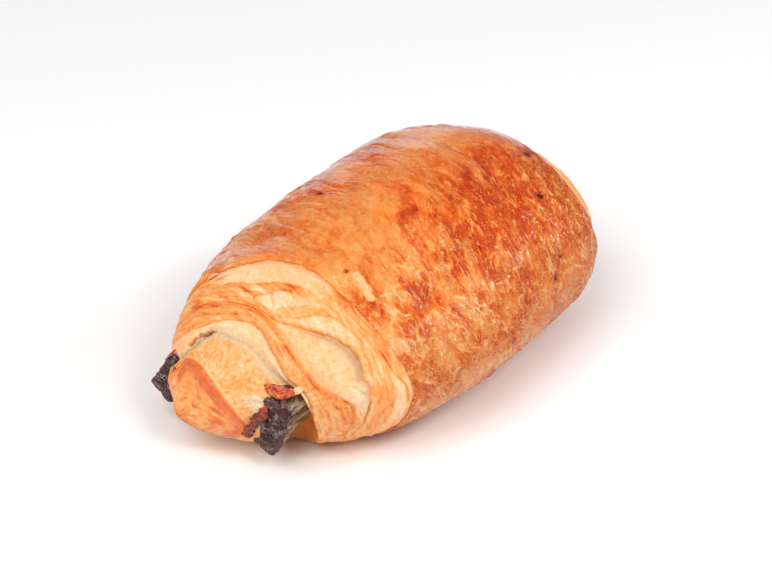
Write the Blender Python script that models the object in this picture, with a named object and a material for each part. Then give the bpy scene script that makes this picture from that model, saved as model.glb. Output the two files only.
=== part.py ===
"""Pain au chocolat: a sheet of laminated dough rolled round two bars of chocolate and baked.

The roll lies along X on its flat underside at z = 0. Its near end, at -X, is the one that opened
in the oven: the coil swells out of the crust there and both bars show. Lengths are in metres, and
heights of the relief are in millimetres until they are placed.
"""

import math

import bpy
import numpy as np

MM = 0.001

# The smooth roll: where its ends begin, how far they stand out, how blunt they are, where they point
NEAR_LIP_X = -27.4 * MM
NEAR_REACH = 28.0 * MM
NEAR_BLUNT = 1.41
NEAR_TIP = (12.5 * MM, 10.4 * MM)
FAR_LIP_X = 28.1 * MM
FAR_REACH = 27.0 * MM
FAR_BLUNT = 0.89
FAR_TIP = (-2.4 * MM, 23.0 * MM)
HALF_WIDTHS = (30.2 * MM, 35.4 * MM, 35.1 * MM, 35.3 * MM)
HEIGHTS = (37.5 * MM, 41.2 * MM, 44.5 * MM, 43.2 * MM)
CENTRES = (0.5 * MM, 0.0 * MM, -0.6 * MM, 0.9 * MM)
WAIST = 20.2 * MM
SECTION_TOP = 1.10
SECTION_BOTTOM = 1.03
UNDERSIDE_SINK = 1.12
FLOOR_ROUNDING = 1.5 * MM
RELIEF_FADE = 4.0 * MM

# Shares of the length parameter u that the two ends take
NEAR_SHARE = 0.28
FAR_SHARE = 0.22

# The near end, as lines round the roll: stops of (degrees from +Y over the top, distance t from the
# tip, where 1 is the start of the crust)
RIDGE_LINE = ((0, .33), (58, .346), (86, .346), (113, .316), (140, .292), (175, .298), (210, .352),
              (290, .36))
VALLEY_LINE = ((10, .38), (43, .385), (66, .471), (90, .531), (118, .501), (146, .515), (200, .52),
               (280, .50))
COIL_LIP = ((26, .507), (50, .531), (75, .590), (95, .604), (119, .554), (141, .525), (160, .565),
            (200, .587), (270, .59), (330, .53))
BAND_LINE = ((20, .60), (55, .665), (80, .678), (109, .638), (132, .592), (160, .612), (200, .635),
             (270, .66), (330, .60))
FOLD_LINE = ((20, .64), (60, .70), (98, .705), (113, .715), (120, .765), (136, .800), (152, .787),
             (183, .763), (205, .735), (270, .74), (330, .66))
CREST_LINE = ((20, .67), (60, .725), (98, .735), (110, .775), (120, .835), (136, .850), (152, .818),
              (183, .790), (205, .765), (270, .78), (330, .70))
STREAK_LINE = ((20, .72), (54, .760), (72, .805), (100, .876), (124, .912), (140, .885), (162, .835),
               (193, .815), (270, .83), (330, .75))
CRUST_LIP = ((12, .80), (28, .84), (40, .985), (60, 1.03), (83, 1.050), (110, 1.025), (149, 1.008),
             (193, 1.035), (270, 1.0), (330, .88))

# Heights of the same lines above the smooth roll, in millimetres
TIP_HEIGHT = ((60, .1), (150, .1), (250, .5), (335, -.5))
RIDGE_HEIGHT = ((30, .2), (70, .8), (150, .7), (200, .5), (280, .5), (340, -.2))
LOBE_HEIGHT = ((30, .2), (90, .5), (140, .4), (200, .3), (280, .4))
VALLEY_HEIGHT = ((20, -.3), (60, -1.5), (130, -1.3), (200, -.8), (300, -.5))
FOLD_HEIGHT = ((30, -.1), (95, -.3), (125, -1.5), (150, -1.7), (185, -1.3), (230, -1.0), (300, -.3))
BAND_HEIGHT = ((20, .3), (60, .7), (130, .9), (170, .4), (215, -.3), (300, .1))
PILLOW_HEIGHT = ((30, .1), (95, .1), (140, 1.4), (175, 1.1), (215, -.3), (300, .1))
CREST_HEIGHT = ((30, .1), (95, .7), (125, .9), (170, .4), (225, -.4), (300, .1))
STREAK_HEIGHT = ((30, -.1), (95, -.7), (150, -.3), (225, -.6), (300, -.3))
LIP_HEIGHT = ((20, .3), (47, 1.1), (70, .5), (150, .5), (250, .2))

# How far each upper layer's edge stands over the one below it, in millimetres
COIL_STEP = 1.8
BAND_STEP = 1.0
CRUST_SINK = 1.3

# The crust's slow unevenness, in millimetres, and its one dent: u, degrees, depth in millimetres
SWELL_MIDDLE = 0.25
SWELL_WAVE = 0.2
DENT = (0.37, 52, 0.9)
DENT_SIZE = (0.08, 0.5)

# The far end, the same way: t is 1 where the end begins and 0 at its tip
FAR_CRUST_LIP = ((30, .50), (90, .45), (105, .47), (114, .53), (125, .55), (138, .60), (152, .61),
                 (165, .64), (182, .60), (205, .58), (270, .62), (330, .58))
FAR_COIL_SHARES = (.22, .40, .55, .72, .80)
FAR_COIL_HEIGHTS = (.6, -1.1, .7, .5, -.4)
FAR_COIL_OVAL = 0.12
FAR_LIP_HEIGHTS = (-0.6, 0.4, 0.2)

# The two bars of chocolate: where their near ends are, how far they run and how they turn. The droop
# bends the last stretch of the bar down, and the softened end hangs below the bar by the hang
BAR_WIDTH = 7.2 * MM
BAR_HEIGHT = 9.0 * MM
BAR_CORNER = 1.3 * MM
BAR_GAP = 0.3 * MM
BAR_YAW = -3.0
LEFT_BAR = {"end": (-49.5 * MM, 19.5 * MM, 11.8 * MM), "length": 104.1 * MM, "rise": 2.6, "lean": 33.0,
            "droop": -2.6 * MM, "hang": 4.0 * MM, "hang_length": 8.0 * MM}
RIGHT_BAR = {"end": (-48.7 * MM, -8.3 * MM, 15.6 * MM), "length": 103.0 * MM, "rise": 1.4, "lean": 17.0,
             "droop": 0.8 * MM, "hang": 5.9 * MM, "hang_length": 6.0 * MM}
DROOP_LENGTH = 22.0 * MM
FAR_HANG = 2.4 * MM
BAR_RINGS = 24
END_ROUNDING = 2.0 * MM
END_WIDTH = 0.95
END_HEIGHT = 0.95
CHAR = 0.45 * MM
CHAR_REACH = 2.5 * MM
END_FACE_RINGS = (0.70, 0.36)
SHARP_ANGLE = 50.0
CHANNEL_OVERRUN = 12.0 * MM

# The pocket that opened in the near end under and beside the right bar
POCKET_CENTRE = (-48.8 * MM, -12.7 * MM, 8.0 * MM)
POCKET_RADII = (17.0 * MM, 6.4 * MM, 14.5 * MM)
POCKET_YAW = 30.0
POCKET_ROUND = 28
POCKET_RINGS = 16

ROUND = 92
BODY_RINGS = 15
CRUST_COLOUR = (0.70, 0.235, 0.075, 1.0)
CHOCOLATE_COLOUR = (0.045, 0.022, 0.016, 1.0)


def clear_scene():
    for obj in list(bpy.data.objects):
        bpy.data.objects.remove(obj, do_unlink=True)


def material(name, colour, roughness, coat):
    made = bpy.data.materials.new(name)
    made.use_nodes = True
    shader = made.node_tree.nodes["Principled BSDF"]
    shader.inputs["Base Color"].default_value = colour
    shader.inputs["Roughness"].default_value = roughness
    shader.inputs["Metallic"].default_value = 0.0
    shader.inputs["Coat Weight"].default_value = coat
    return made


def around(angle, stops):
    """Closed smooth line through (degrees, value) stops, read at angles in radians."""
    degrees, values = np.array(stops, float).T
    at = np.concatenate([degrees - 360.0, degrees, degrees + 360.0])
    value = np.tile(values, 3)
    slope = np.gradient(value, at)
    x = np.mod(np.degrees(angle), 360.0)
    i = np.searchsorted(at, x, side="right") - 1
    span = at[i + 1] - at[i]
    s = (x - at[i]) / span
    ends = (1 + 2 * s) * (1 - s) ** 2 * value[i] + s * s * (3 - 2 * s) * value[i + 1]
    return ends + s * (1 - s) * span * ((1 - s) * slope[i] - s * slope[i + 1])


def through_four(t, a, b, c, d):
    """Cubic through four values at t = 0, 1/3, 2/3 and 1."""
    p, q, r = t - 1 / 3, t - 2 / 3, t - 1
    return -4.5 * a * p * q * r + 13.5 * b * t * q * r - 13.5 * c * t * p * r + 4.5 * d * t * p * q


def smooth_step(x):
    x = np.clip(x, 0.0, 1.0)
    return x * x * (3 - 2 * x)


def skin(u, v):
    """The roll without relief, u from the near tip at 0 to the far tip at 1, v round it from +Y.

    Each ring is a superellipse: y = k * width * sgn(cos v) |cos v|^e and z likewise with sin v, where
    k falls from 1 to 0 as sin^b over an end while x runs out as cos^b to the tip.
    """
    near = np.clip(u / NEAR_SHARE, 0, 1) * math.pi / 2
    far = np.clip((1 - u) / FAR_SHARE, 0, 1) * math.pi / 2
    along = np.clip((u - NEAR_SHARE) / (1 - NEAR_SHARE - FAR_SHARE), 0, 1)
    near_k = np.sin(near) ** NEAR_BLUNT
    far_k = np.sin(far) ** FAR_BLUNT
    x = NEAR_LIP_X + (FAR_LIP_X - NEAR_LIP_X) * along
    x = x - NEAR_REACH * np.cos(near) ** NEAR_BLUNT + FAR_REACH * np.cos(far) ** FAR_BLUNT
    width = near_k * far_k * through_four(along, *HALF_WIDTHS)
    height = near_k * far_k * (through_four(along, *HEIGHTS) - WAIST)
    depth = near_k * far_k * WAIST * UNDERSIDE_SINK
    cos, sin = np.cos(v), np.sin(v)
    power = np.where(sin > 0, SECTION_TOP, SECTION_BOTTOM)
    y = width * np.sign(cos) * np.abs(cos) ** power
    y = y + near_k * far_k * through_four(along, *CENTRES)
    y = y + (1 - near_k) * NEAR_TIP[0] + (1 - far_k) * FAR_TIP[0]
    z = np.where(sin > 0, height, depth) * np.sign(sin) * np.abs(sin) ** power
    z = z + WAIST + (1 - near_k) * (NEAR_TIP[1] - WAIST) + (1 - far_k) * (FAR_TIP[1] - WAIST)
    return np.stack([x, y, flat_floor(z)], axis=-1)


def flat_floor(z):
    """z, but never below zero, with a parabola that joins the flat underside to the sides."""
    w = FLOOR_ROUNDING
    return np.where(z < -w, 0.0, np.where(z > w, z, (z + w) ** 2 / (4 * w)))


def skin_normal(u, v):
    step = 1e-4
    du = skin(np.minimum(u + step, 1.0), v) - skin(np.maximum(u - step, 0.0), v)
    dv = skin(u, v + step) - skin(u, v - step)
    normal = np.cross(dv, du)
    return normal / np.maximum(np.linalg.norm(normal, axis=-1, keepdims=True), 1e-12)


def swell(u, v):
    """Slow unevenness of the crust and its one dent, in millimetres."""
    ripple = np.sin(5 * v + 14 * u) * np.sin(9 * u * math.pi + 2) + 0.6 * np.sin(3 * v - 21 * u + 1)
    dent_u, dent_angle, dent_depth = DENT
    off = ((u - dent_u) / DENT_SIZE[0]) ** 2 + ((v - math.radians(dent_angle)) / DENT_SIZE[1]) ** 2
    ripple = SWELL_MIDDLE + SWELL_WAVE * ripple - dent_depth * np.exp(-off)
    return ripple * smooth_step((u - 0.25) / 0.1) * smooth_step((0.92 - u) / 0.1)


def near_stations(v):
    """(t, height) of each line of the near end, from the tip out to the crust behind its lip."""
    coil_lip, band, fold = around(v, COIL_LIP), around(v, BAND_LINE), around(v, FOLD_LINE)
    valley, ridge = around(v, VALLEY_LINE), around(v, RIDGE_LINE)
    crest, streak, lip = around(v, CREST_LINE), around(v, STREAK_LINE), around(v, CRUST_LIP)
    valley = np.minimum(valley, coil_lip - 0.03)
    band_height, lip_height, tip = around(v, BAND_HEIGHT), around(v, LIP_HEIGHT), around(v, TIP_HEIGHT)
    return (
        (0.04 + 0 * v, 0 * v),
        (0.12 + 0 * v, 0.7 * tip),
        (0.22 + 0 * v, tip),
        (ridge, around(v, RIDGE_HEIGHT)),
        (0.55 * ridge + 0.45 * valley, around(v, LOBE_HEIGHT)),
        (valley, around(v, VALLEY_HEIGHT)),
        (coil_lip - 0.014, band_height - COIL_STEP),
        (coil_lip + 0.012, band_height),
        (0.35 * coil_lip + 0.65 * band, band_height + 0.1),
        (band, band_height - BAND_STEP),
        (0.55 * band + 0.45 * fold, around(v, PILLOW_HEIGHT)),
        (fold, around(v, FOLD_HEIGHT)),
        (crest, around(v, CREST_HEIGHT)),
        (streak, around(v, STREAK_HEIGHT)),
        (0.45 * streak + 0.55 * lip, -0.1 + 0 * v),
        (lip - 0.022, -CRUST_SINK + 0 * v),
        (lip + 0.014, lip_height),
        (lip + 0.09, 0.4 * lip_height),
    )


def far_stations(v):
    """(t, height) of each line of the far end, from its tip out to the crust behind its lip."""
    lip = around(v, FAR_CRUST_LIP)
    wave = 1 + FAR_COIL_OVAL * np.sin(2 * v + 0.7)
    coil = [(0.06 + 0 * v, 0 * v)]
    for share, height in zip(FAR_COIL_SHARES, FAR_COIL_HEIGHTS):
        coil.append((lip * share * wave ** 0.5, height * wave))
    for past, height in zip((-0.035, 0.015, 0.13), FAR_LIP_HEIGHTS):
        coil.append((lip + past, height + 0 * v))
    return tuple(coil)


def ring_grid():
    """u, v and height of every vertex of the roll, ring by ring from the near tip to the far tip."""
    v = np.arange(ROUND) * 2 * math.pi / ROUND
    near = [(t * NEAR_SHARE, h) for t, h in near_stations(v)]
    far = [(1 - t * FAR_SHARE, h) for t, h in reversed(far_stations(v))]
    start, end = near[-1][0], far[0][0]
    body = []
    for i in range(1, BODY_RINGS + 1):
        u = start + (end - start) * i / (BODY_RINGS + 1)
        body.append((u, swell(u, v)))
    rings = near + body + far
    u = np.array([ring[0] for ring in rings])
    height = np.array([ring[1] for ring in rings])
    return u, np.broadcast_to(v, u.shape), height


def roll_points():
    u, v, height = ring_grid()
    base = skin(u, v)
    fade = smooth_step(base[..., 2] / RELIEF_FADE)
    rings = base + skin_normal(u, v) * (height * fade * MM)[..., None]
    rings[..., 2] = np.maximum(rings[..., 2], 0.0)
    tips = skin(np.array([0.0, 1.0]), np.zeros(2))
    return rings, tips


def closed_rings(name, rings, start, end):
    """A closed mesh from rings of points in order, with a point to close each end."""
    count, sides = rings.shape[:2]
    index = np.arange(count * sides).reshape(count, sides)
    ahead = np.roll(index, -1, axis=1)
    quads = np.stack([index[:-1], ahead[:-1], ahead[1:], index[1:]], axis=-1).reshape(-1, 4)
    first, last = count * sides, count * sides + 1
    cap_in = [(first, b, a) for a, b in zip(index[0], ahead[0])]
    cap_out = [(last, a, b) for a, b in zip(index[-1], ahead[-1])]
    mesh = bpy.data.meshes.new(name)
    points = np.concatenate([rings.reshape(-1, 3), [start], [end]])
    mesh.from_pydata(points.tolist(), [], quads.tolist() + cap_in + cap_out)
    mesh.validate()
    mesh.update()
    obj = bpy.data.objects.new(name, mesh)
    bpy.context.scene.collection.objects.link(obj)
    return obj


def bar_section(grow):
    """Rounded rectangle, 20 points, counter-clockwise about the bar's axis."""
    corner = BAR_CORNER + grow
    half_w, half_h = BAR_WIDTH / 2 + grow - corner, BAR_HEIGHT / 2 + grow - corner
    points = []
    for quarter, (sx, sy) in enumerate(((1, 1), (-1, 1), (-1, -1), (1, -1))):
        for step in range(5):
            a = (quarter + step / 4) * math.pi / 2
            points.append((sx * half_w + corner * math.cos(a), sy * half_h + corner * math.sin(a)))
    return np.array(points)


def bar_axes(bar):
    """Unit vectors along the bar, across it and up its height."""
    yaw, rise, lean = (math.radians(a) for a in (BAR_YAW, bar["rise"], bar["lean"]))
    axis = np.array([math.cos(rise) * math.cos(yaw), math.cos(rise) * math.sin(yaw), math.sin(rise)])
    side = np.array([-math.sin(yaw), math.cos(yaw), 0.0])
    up = np.cross(axis, side)
    across = side * math.cos(lean) + up * math.sin(lean)
    return axis, across, np.cross(axis, across)


def bar_path(bar, along):
    """Points of the bar's axis, and how far its lower edge hangs, at distances along it."""
    axis = bar_axes(bar)[0]
    from_end = np.clip(along, 0, None)
    to_end = np.clip(bar["length"] - along, 0, None)
    sag = bar["droop"] * np.clip(1 - from_end / DROOP_LENGTH, 0, None) ** 2
    centre = np.array(bar["end"]) + along[:, None] * axis - sag[:, None] * np.array([0, 0, 1.0])
    hang = bar["hang"] * smooth_step(1 - from_end / bar["hang_length"])
    return centre, hang + FAR_HANG * smooth_step(1 - to_end / bar["hang_length"])


def bar_stations(bar):
    """Distances along the bar of its rings, closer together near the two ends."""
    return bar["length"] * (0.5 - 0.5 * np.cos(np.linspace(0, math.pi, BAR_RINGS)))


def hung(section, hang):
    """Width and height of each point of each ring, the lower half pulled down by the hang."""
    wide = section[None, :, 0] + 0 * hang[:, None]
    high = section[None, :, 1] + 0 * hang[:, None]
    low = smooth_step(0.5 - high / (BAR_HEIGHT / 2))
    return wide, high - hang[:, None] * low


def bar_rings(bar):
    """Rings of the bar itself, drawn in and ragged at its two ends."""
    axis, across, tall = bar_axes(bar)
    along = bar_stations(bar)
    centre, hang = bar_path(bar, along)
    wide, high = hung(bar_section(0.0), hang)
    from_end = np.minimum(along, bar["length"] - along)
    inset = np.sqrt(np.clip(from_end / END_ROUNDING, 0, 1))[:, None]
    middle = -hang[:, None] / 2
    wide = wide * (END_WIDTH + (1 - END_WIDTH) * inset)
    high = middle + (high - middle) * (END_HEIGHT + (1 - END_HEIGHT) * inset)
    ragged = np.sin(np.arange(wide.shape[1]) * 2.4 + 1) * CHAR
    push = smooth_step(1 - from_end / CHAR_REACH)[:, None] * ragged
    return centre[:, None] + wide[..., None] * across + high[..., None] * tall + push[..., None] * axis


def channel_rings(bar, grow, overrun):
    """Rings of the channel round the bar, wider by grow and longer by overrun at each end."""
    axis, across, tall = bar_axes(bar)
    along = np.concatenate([[-overrun], bar_stations(bar), [bar["length"] + overrun]])
    centre, hang = bar_path(bar, along)
    wide, high = hung(bar_section(grow), hang)
    return centre[:, None] + wide[..., None] * across + high[..., None] * tall


def end_face(ring, axis):
    """Rings that close an end of a bar as a broken face: shrunken copies, each pushed along the axis."""
    middle = ring.mean(axis=0)
    steps = []
    for share in END_FACE_RINGS:
        push = np.sin(np.arange(len(ring)) * 1.9 + 7 * share) * CHAR * share
        steps.append(middle + (ring - middle) * share + push[:, None] * axis)
    return steps


def make_bar(name, bar, look):
    rings, axis = bar_rings(bar), bar_axes(bar)[0]
    front = end_face(rings[0], -axis)
    back = end_face(rings[-1], axis)
    rings = np.array(front[::-1] + list(rings) + back)
    obj = closed_rings(name, rings, rings[0].mean(axis=0), rings[-1].mean(axis=0))
    obj.data.materials.append(look)
    obj.data.shade_smooth()
    obj.data.set_sharp_from_angle(angle=math.radians(SHARP_ANGLE))
    return obj


def make_cutter(name, rings):
    return as_guide(closed_rings(name, rings, rings[0].mean(axis=0), rings[-1].mean(axis=0)))


def as_guide(obj):
    obj.hide_render = True
    obj.display_type = "WIRE"
    return obj


def make_pocket():
    """The hollow under the right bar: an ellipsoid set into the end, turned to follow the bar."""
    yaw = math.radians(POCKET_YAW)
    along = np.array([math.cos(yaw), math.sin(yaw), 0.0]) * POCKET_RADII[0]
    aside = np.array([-math.sin(yaw), math.cos(yaw), 0.0]) * POCKET_RADII[1]
    tall = np.array([0.0, 0.0, POCKET_RADII[2]])
    v = (np.arange(POCKET_ROUND) * 2 * math.pi / POCKET_ROUND)[None, :, None]
    a = np.linspace(0, math.pi, POCKET_RINGS + 2)[1:-1, None, None]
    centre = np.array(POCKET_CENTRE)
    rings = centre - np.cos(a) * along + np.sin(a) * (np.cos(v) * aside + np.sin(v) * tall)
    return as_guide(closed_rings("pocket", rings, centre - along, centre + along))


def cut(obj, cutter):
    modifier = obj.modifiers.new(cutter.name, "BOOLEAN")
    modifier.operation = "DIFFERENCE"
    modifier.solver = "EXACT"
    modifier.object = cutter


def make_pastry(look):
    rings, tips = roll_points()
    pastry = closed_rings("pastry", rings, tips[0], tips[1])
    pastry.data.materials.append(look)
    pastry.data.shade_smooth()
    cut(pastry, make_pocket())
    for name, bar in (("left_channel", LEFT_BAR), ("right_channel", RIGHT_BAR)):
        channel = channel_rings(bar, BAR_GAP, CHANNEL_OVERRUN)
        cut(pastry, make_cutter(name, channel))
    return pastry


def main():
    clear_scene()
    crust = material("baked_dough", CRUST_COLOUR, 0.38, 0.35)
    chocolate = material("dark_chocolate", CHOCOLATE_COLOUR, 0.55, 0.0)
    make_pastry(crust)
    make_bar("chocolate_stick_left", LEFT_BAR, chocolate)
    make_bar("chocolate_stick_right", RIGHT_BAR, chocolate)


if __name__ == "__main__":
    main()
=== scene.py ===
"""A pain au chocolat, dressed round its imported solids: crust, coil, chocolate and scraps of dough."""

import math
from functools import partial

import bpy
import numpy as np
from mathutils import Matrix, Vector


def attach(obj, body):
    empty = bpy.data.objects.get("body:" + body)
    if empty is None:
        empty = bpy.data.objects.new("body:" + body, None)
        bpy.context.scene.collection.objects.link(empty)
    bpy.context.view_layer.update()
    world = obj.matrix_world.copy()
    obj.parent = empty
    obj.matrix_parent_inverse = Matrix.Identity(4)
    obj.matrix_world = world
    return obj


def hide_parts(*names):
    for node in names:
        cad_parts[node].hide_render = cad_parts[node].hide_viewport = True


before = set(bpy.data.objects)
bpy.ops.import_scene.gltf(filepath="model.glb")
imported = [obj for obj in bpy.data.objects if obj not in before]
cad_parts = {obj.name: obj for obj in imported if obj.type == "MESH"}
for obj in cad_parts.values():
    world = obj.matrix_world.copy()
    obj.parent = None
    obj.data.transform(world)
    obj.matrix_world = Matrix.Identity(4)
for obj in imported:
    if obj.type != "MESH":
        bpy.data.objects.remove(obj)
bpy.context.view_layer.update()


# The crust
# The outermost turn of the sheet, brushed with egg before it was baked: a thin glossy skin, wrinkled
# round the roll and blistered on the side towards the front. Its two edges curl in over the coil.
# Like every layer below, it lies on one smooth roll that has the solid's own sizes, in millimetres.
MM = 0.001

# The ends: where each begins, how far it reaches out, how blunt it is and the (y, z) of its tip.
NEAR_LIP_X, NEAR_REACH, NEAR_BLUNT, NEAR_TIP = -27.4, 28.0, 1.41, (12.5, 10.4)
FAR_LIP_X, FAR_REACH, FAR_BLUNT, FAR_TIP = 28.1, 27.0, 0.89, (-2.4, 23.0)
NEAR_SHARE, FAR_SHARE = 0.28, 0.22

# The section, at four even places between the ends, and how it is rounded.
HALF_WIDTHS = (30.2, 35.4, 35.1, 35.3)
HEIGHTS = (37.5, 41.2, 44.5, 43.2)
CENTRES = (0.5, 0.0, -0.6, 0.9)
WAIST = 20.2
SECTION_TOP, SECTION_BOTTOM = 1.10, 1.03
UNDERSIDE_SINK = 1.12
FLOOR_ROUNDING = 1.5
ROLL_RADIUS = 29.0

# Relief is at its full height above RELIEF_FADE, and hollows keep at least HIDDEN_FADE of their depth.
RELIEF_FADE = 4.0
HIDDEN_FADE = 0.3

LENGTH_STEPS = 700
CROWDED_AT = 105.0
LEAST = 1e-6
SHORTEST_CHORD = 1e-3
NORMAL_STEP = 1e-4
SLOPES = 4096
CELL_PRIMES = (73856093, 19349663, 83492791)
NOISE_GAIN = 0.9

# Lines round an end are (degrees, share of the end from its tip), heights (degrees, millimetres), dark
# pools (u, degrees) and burnt dots (u, degrees, radius).
CRUST_LIP = ((12, .77), (34, .80), (42, .835), (51, .87), (57, .92), (62, .975), (68, 1.03), (76, 1.065),
             (86, 1.075), (99, 1.07), (110, 1.045), (125, 1.02), (149, 1.008), (193, 1.035), (270, 1.0),
             (330, .86))
FAR_CRUST_LIP = ((30, .50), (90, .45), (105, .47), (114, .53), (125, .55), (138, .60), (152, .61),
                 (165, .64), (182, .60), (205, .58), (270, .62), (330, .58))
LIP_HEIGHT = ((20, .3), (47, 1.1), (70, .6), (92, .4), (120, .15), (145, .2), (165, .4), (250, .2))
CRUST_ROWS, CRUST_COLUMNS, CRUST_CROWDING = 300, 330, 0.42
HIDDEN_ROWS = 16
NEAR_FOLDED_BAKE, FAR_FOLDED_BAKE, DARKEST_BAKE = 0.50, 0.34, 0.86
DENT_AT, DENT_ANGLE, DENT_DEPTH = 0.37, 52, 0.9
PEELED_LINE = ((109, .348), (116, .336), (123, .322))
DARK_POOLS = ((.398, 127.5), (.409, 134), (.321, 128), (.348, 149), (.50, 131), (.585, 129))
BURNT_DOTS = ((.848, 113, 1.1), (.514, 60.8, 0.6), (.342, 105, 0.6), (.470, 167, 0.45),
              (.719, 166.5, 0.8), (.760, 158.5, 0.7), (.797, 131.5, 0.7))

# How high the crust's relief stands and how deep its hollows are, in millimetres.
WAVE_HEIGHT, WRINKLE_HEIGHT, BLISTER_HEIGHT, GRAIN_HEIGHT = 0.14, 0.78, 0.10, 0.04
PLATE_DEPTH, PUCKER_DEPTH, PEEL_DEPTH, BURNT_DEPTH = 0.80, 0.26, 0.3, 0.35


def through_four(t, a, b, c, d):
    """Cubic through four values at t = 0, 1/3, 2/3 and 1."""
    p, q, r = t - 1 / 3, t - 2 / 3, t - 1
    return -4.5 * a * p * q * r + 13.5 * b * t * q * r - 13.5 * c * t * p * r + 4.5 * d * t * p * q


def ease(x, start=0.0, end=1.0):
    """0 before start, 1 after end, and 3x^2 - 2x^3 between them."""
    x = np.clip((x - start) / (end - start), 0.0, 1.0)
    return x * x * (3 - 2 * x)


def hump(x, width):
    """1 at x = 0 and falling off both ways as exp(-(x / width)^2)."""
    return np.exp(-(x / width) ** 2)


def cubic(i, s, values, slopes, span=1.0):
    """Smooth curve from value i to the next as s goes from 0 to 1, with the slope given at each."""
    ends = (1 + 2 * s) * (1 - s) ** 2 * values[i] + s * s * (3 - 2 * s) * values[i + 1]
    return ends + s * (1 - s) * span * ((1 - s) * slopes[i] - s * slopes[i + 1])


def unit(vectors):
    """The vectors at length 1, save for those that are almost nothing."""
    return vectors / np.maximum(np.linalg.norm(vectors, axis=-1, keepdims=True), LEAST)


def skin(u, v):
    """The roll without relief, u from the near tip at 0 to the far tip at 1, v round it from +Y.

    Each ring is a superellipse: y = k * width * sgn(cos v) |cos v|^e and z likewise with sin v, where
    k falls from 1 to 0 as sin^b over an end while x runs out as cos^b to the tip.
    """
    near = np.clip(u / NEAR_SHARE, 0, 1) * math.pi / 2
    far = np.clip((1 - u) / FAR_SHARE, 0, 1) * math.pi / 2
    along = np.clip((u - NEAR_SHARE) / (1 - NEAR_SHARE - FAR_SHARE), 0, 1)
    near_k = np.sin(near) ** NEAR_BLUNT
    far_k = np.sin(far) ** FAR_BLUNT
    both_k = near_k * far_k
    x = NEAR_LIP_X + (FAR_LIP_X - NEAR_LIP_X) * along
    x = x - NEAR_REACH * np.cos(near) ** NEAR_BLUNT + FAR_REACH * np.cos(far) ** FAR_BLUNT
    width = both_k * through_four(along, *HALF_WIDTHS)
    height = both_k * (through_four(along, *HEIGHTS) - WAIST)
    depth = both_k * WAIST * UNDERSIDE_SINK
    cos, sin = np.cos(v), np.sin(v)
    power = np.where(sin > 0, SECTION_TOP, SECTION_BOTTOM)
    y = width * np.sign(cos) * np.abs(cos) ** power + both_k * through_four(along, *CENTRES)
    y = y + (1 - near_k) * NEAR_TIP[0] + (1 - far_k) * FAR_TIP[0]
    z = np.where(sin > 0, height, depth) * np.sign(sin) * np.abs(sin) ** power
    z = z + WAIST + (1 - near_k) * (NEAR_TIP[1] - WAIST) + (1 - far_k) * (FAR_TIP[1] - WAIST)
    w = FLOOR_ROUNDING
    z = np.where(z < -w, 0.0, np.where(z > w, z, (z + w) ** 2 / (4 * w)))
    return np.stack(np.broadcast_arrays(x, y, z), axis=-1)


def skin_normal(u, v):
    """Unit normal of the roll, from points a little to each side along u and v."""
    step = NORMAL_STEP
    du = skin(np.minimum(u + step, 1.0), v) - skin(np.maximum(u - step, 0.0), v)
    dv = skin(u, v + step) - skin(u, v - step)
    return unit(np.cross(dv, du))


def lines_along(columns, crowding):
    """The lines that run along the roll: their angles, how far each has run at each step of u, and degrees.

    The angles start at a seam under the roll and stand closer over the top and the front: each is
    t - c sin(t - t0), with t in even steps, which draws them together by 1 - c about t0.
    """
    even = -math.pi / 2 + 2 * math.pi * np.arange(columns) / columns
    v = even - crowding * np.sin(even - math.radians(CROWDED_AT))
    points = skin(np.linspace(0, 1, LENGTH_STEPS)[:, None], v[None, :])
    steps = np.linalg.norm(np.diff(points, axis=0), axis=-1)
    lengths = np.concatenate([np.zeros((1, columns)), np.cumsum(steps, axis=0)])
    return v, lengths, np.mod(np.degrees(v), 360)


def around(stops):
    """Closed smooth line through (degrees, value) stops, read at each line's angle: cubics between them."""
    at, value = np.array(stops, float).T
    at = np.concatenate([at - 360.0, at, at + 360.0])
    value = np.tile(value, 3)
    slope = np.gradient(value, at)
    i = np.searchsorted(at, degrees, side="right") - 1
    span = at[i + 1] - at[i]
    return cubic(i, (degrees - at[i]) / span, value, slope, span)


def straight(stops):
    """The value at each line's angle on straight pieces between (degrees, value) stops."""
    return np.interp(degrees, *np.array(stops).T)


def length_at(u):
    """The run at one u for each line, read between the steps of the table."""
    place = np.clip(u, 0, 1) * (LENGTH_STEPS - 1)
    i = np.minimum(place.astype(int), LENGTH_STEPS - 2)
    column = np.arange(lengths.shape[1])
    return lengths[i, column] + (place - i) * (lengths[i + 1, column] - lengths[i, column])


def line(stops):
    """The run at which a line round the near end, given in shares of the end, meets each line along."""
    return length_at(around(stops) * NEAR_SHARE)


def far_line(share):
    """The run at which that share of the far end, counted from the far tip, meets each line along."""
    return length_at(1 - share * FAR_SHARE)


def u_at(run):
    """u where each line has run that far: one table for all, each line's runs a metre past the last's."""
    apart = np.arange(lengths.shape[1]) / MM
    table = (lengths + apart).T.ravel()
    u = np.tile(np.linspace(0, 1, LENGTH_STEPS), len(apart))
    run = np.clip(run, 0, lengths[-1])
    return np.interp((run + apart).T.ravel(), table, u).reshape(run.shape[::-1]).T


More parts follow.
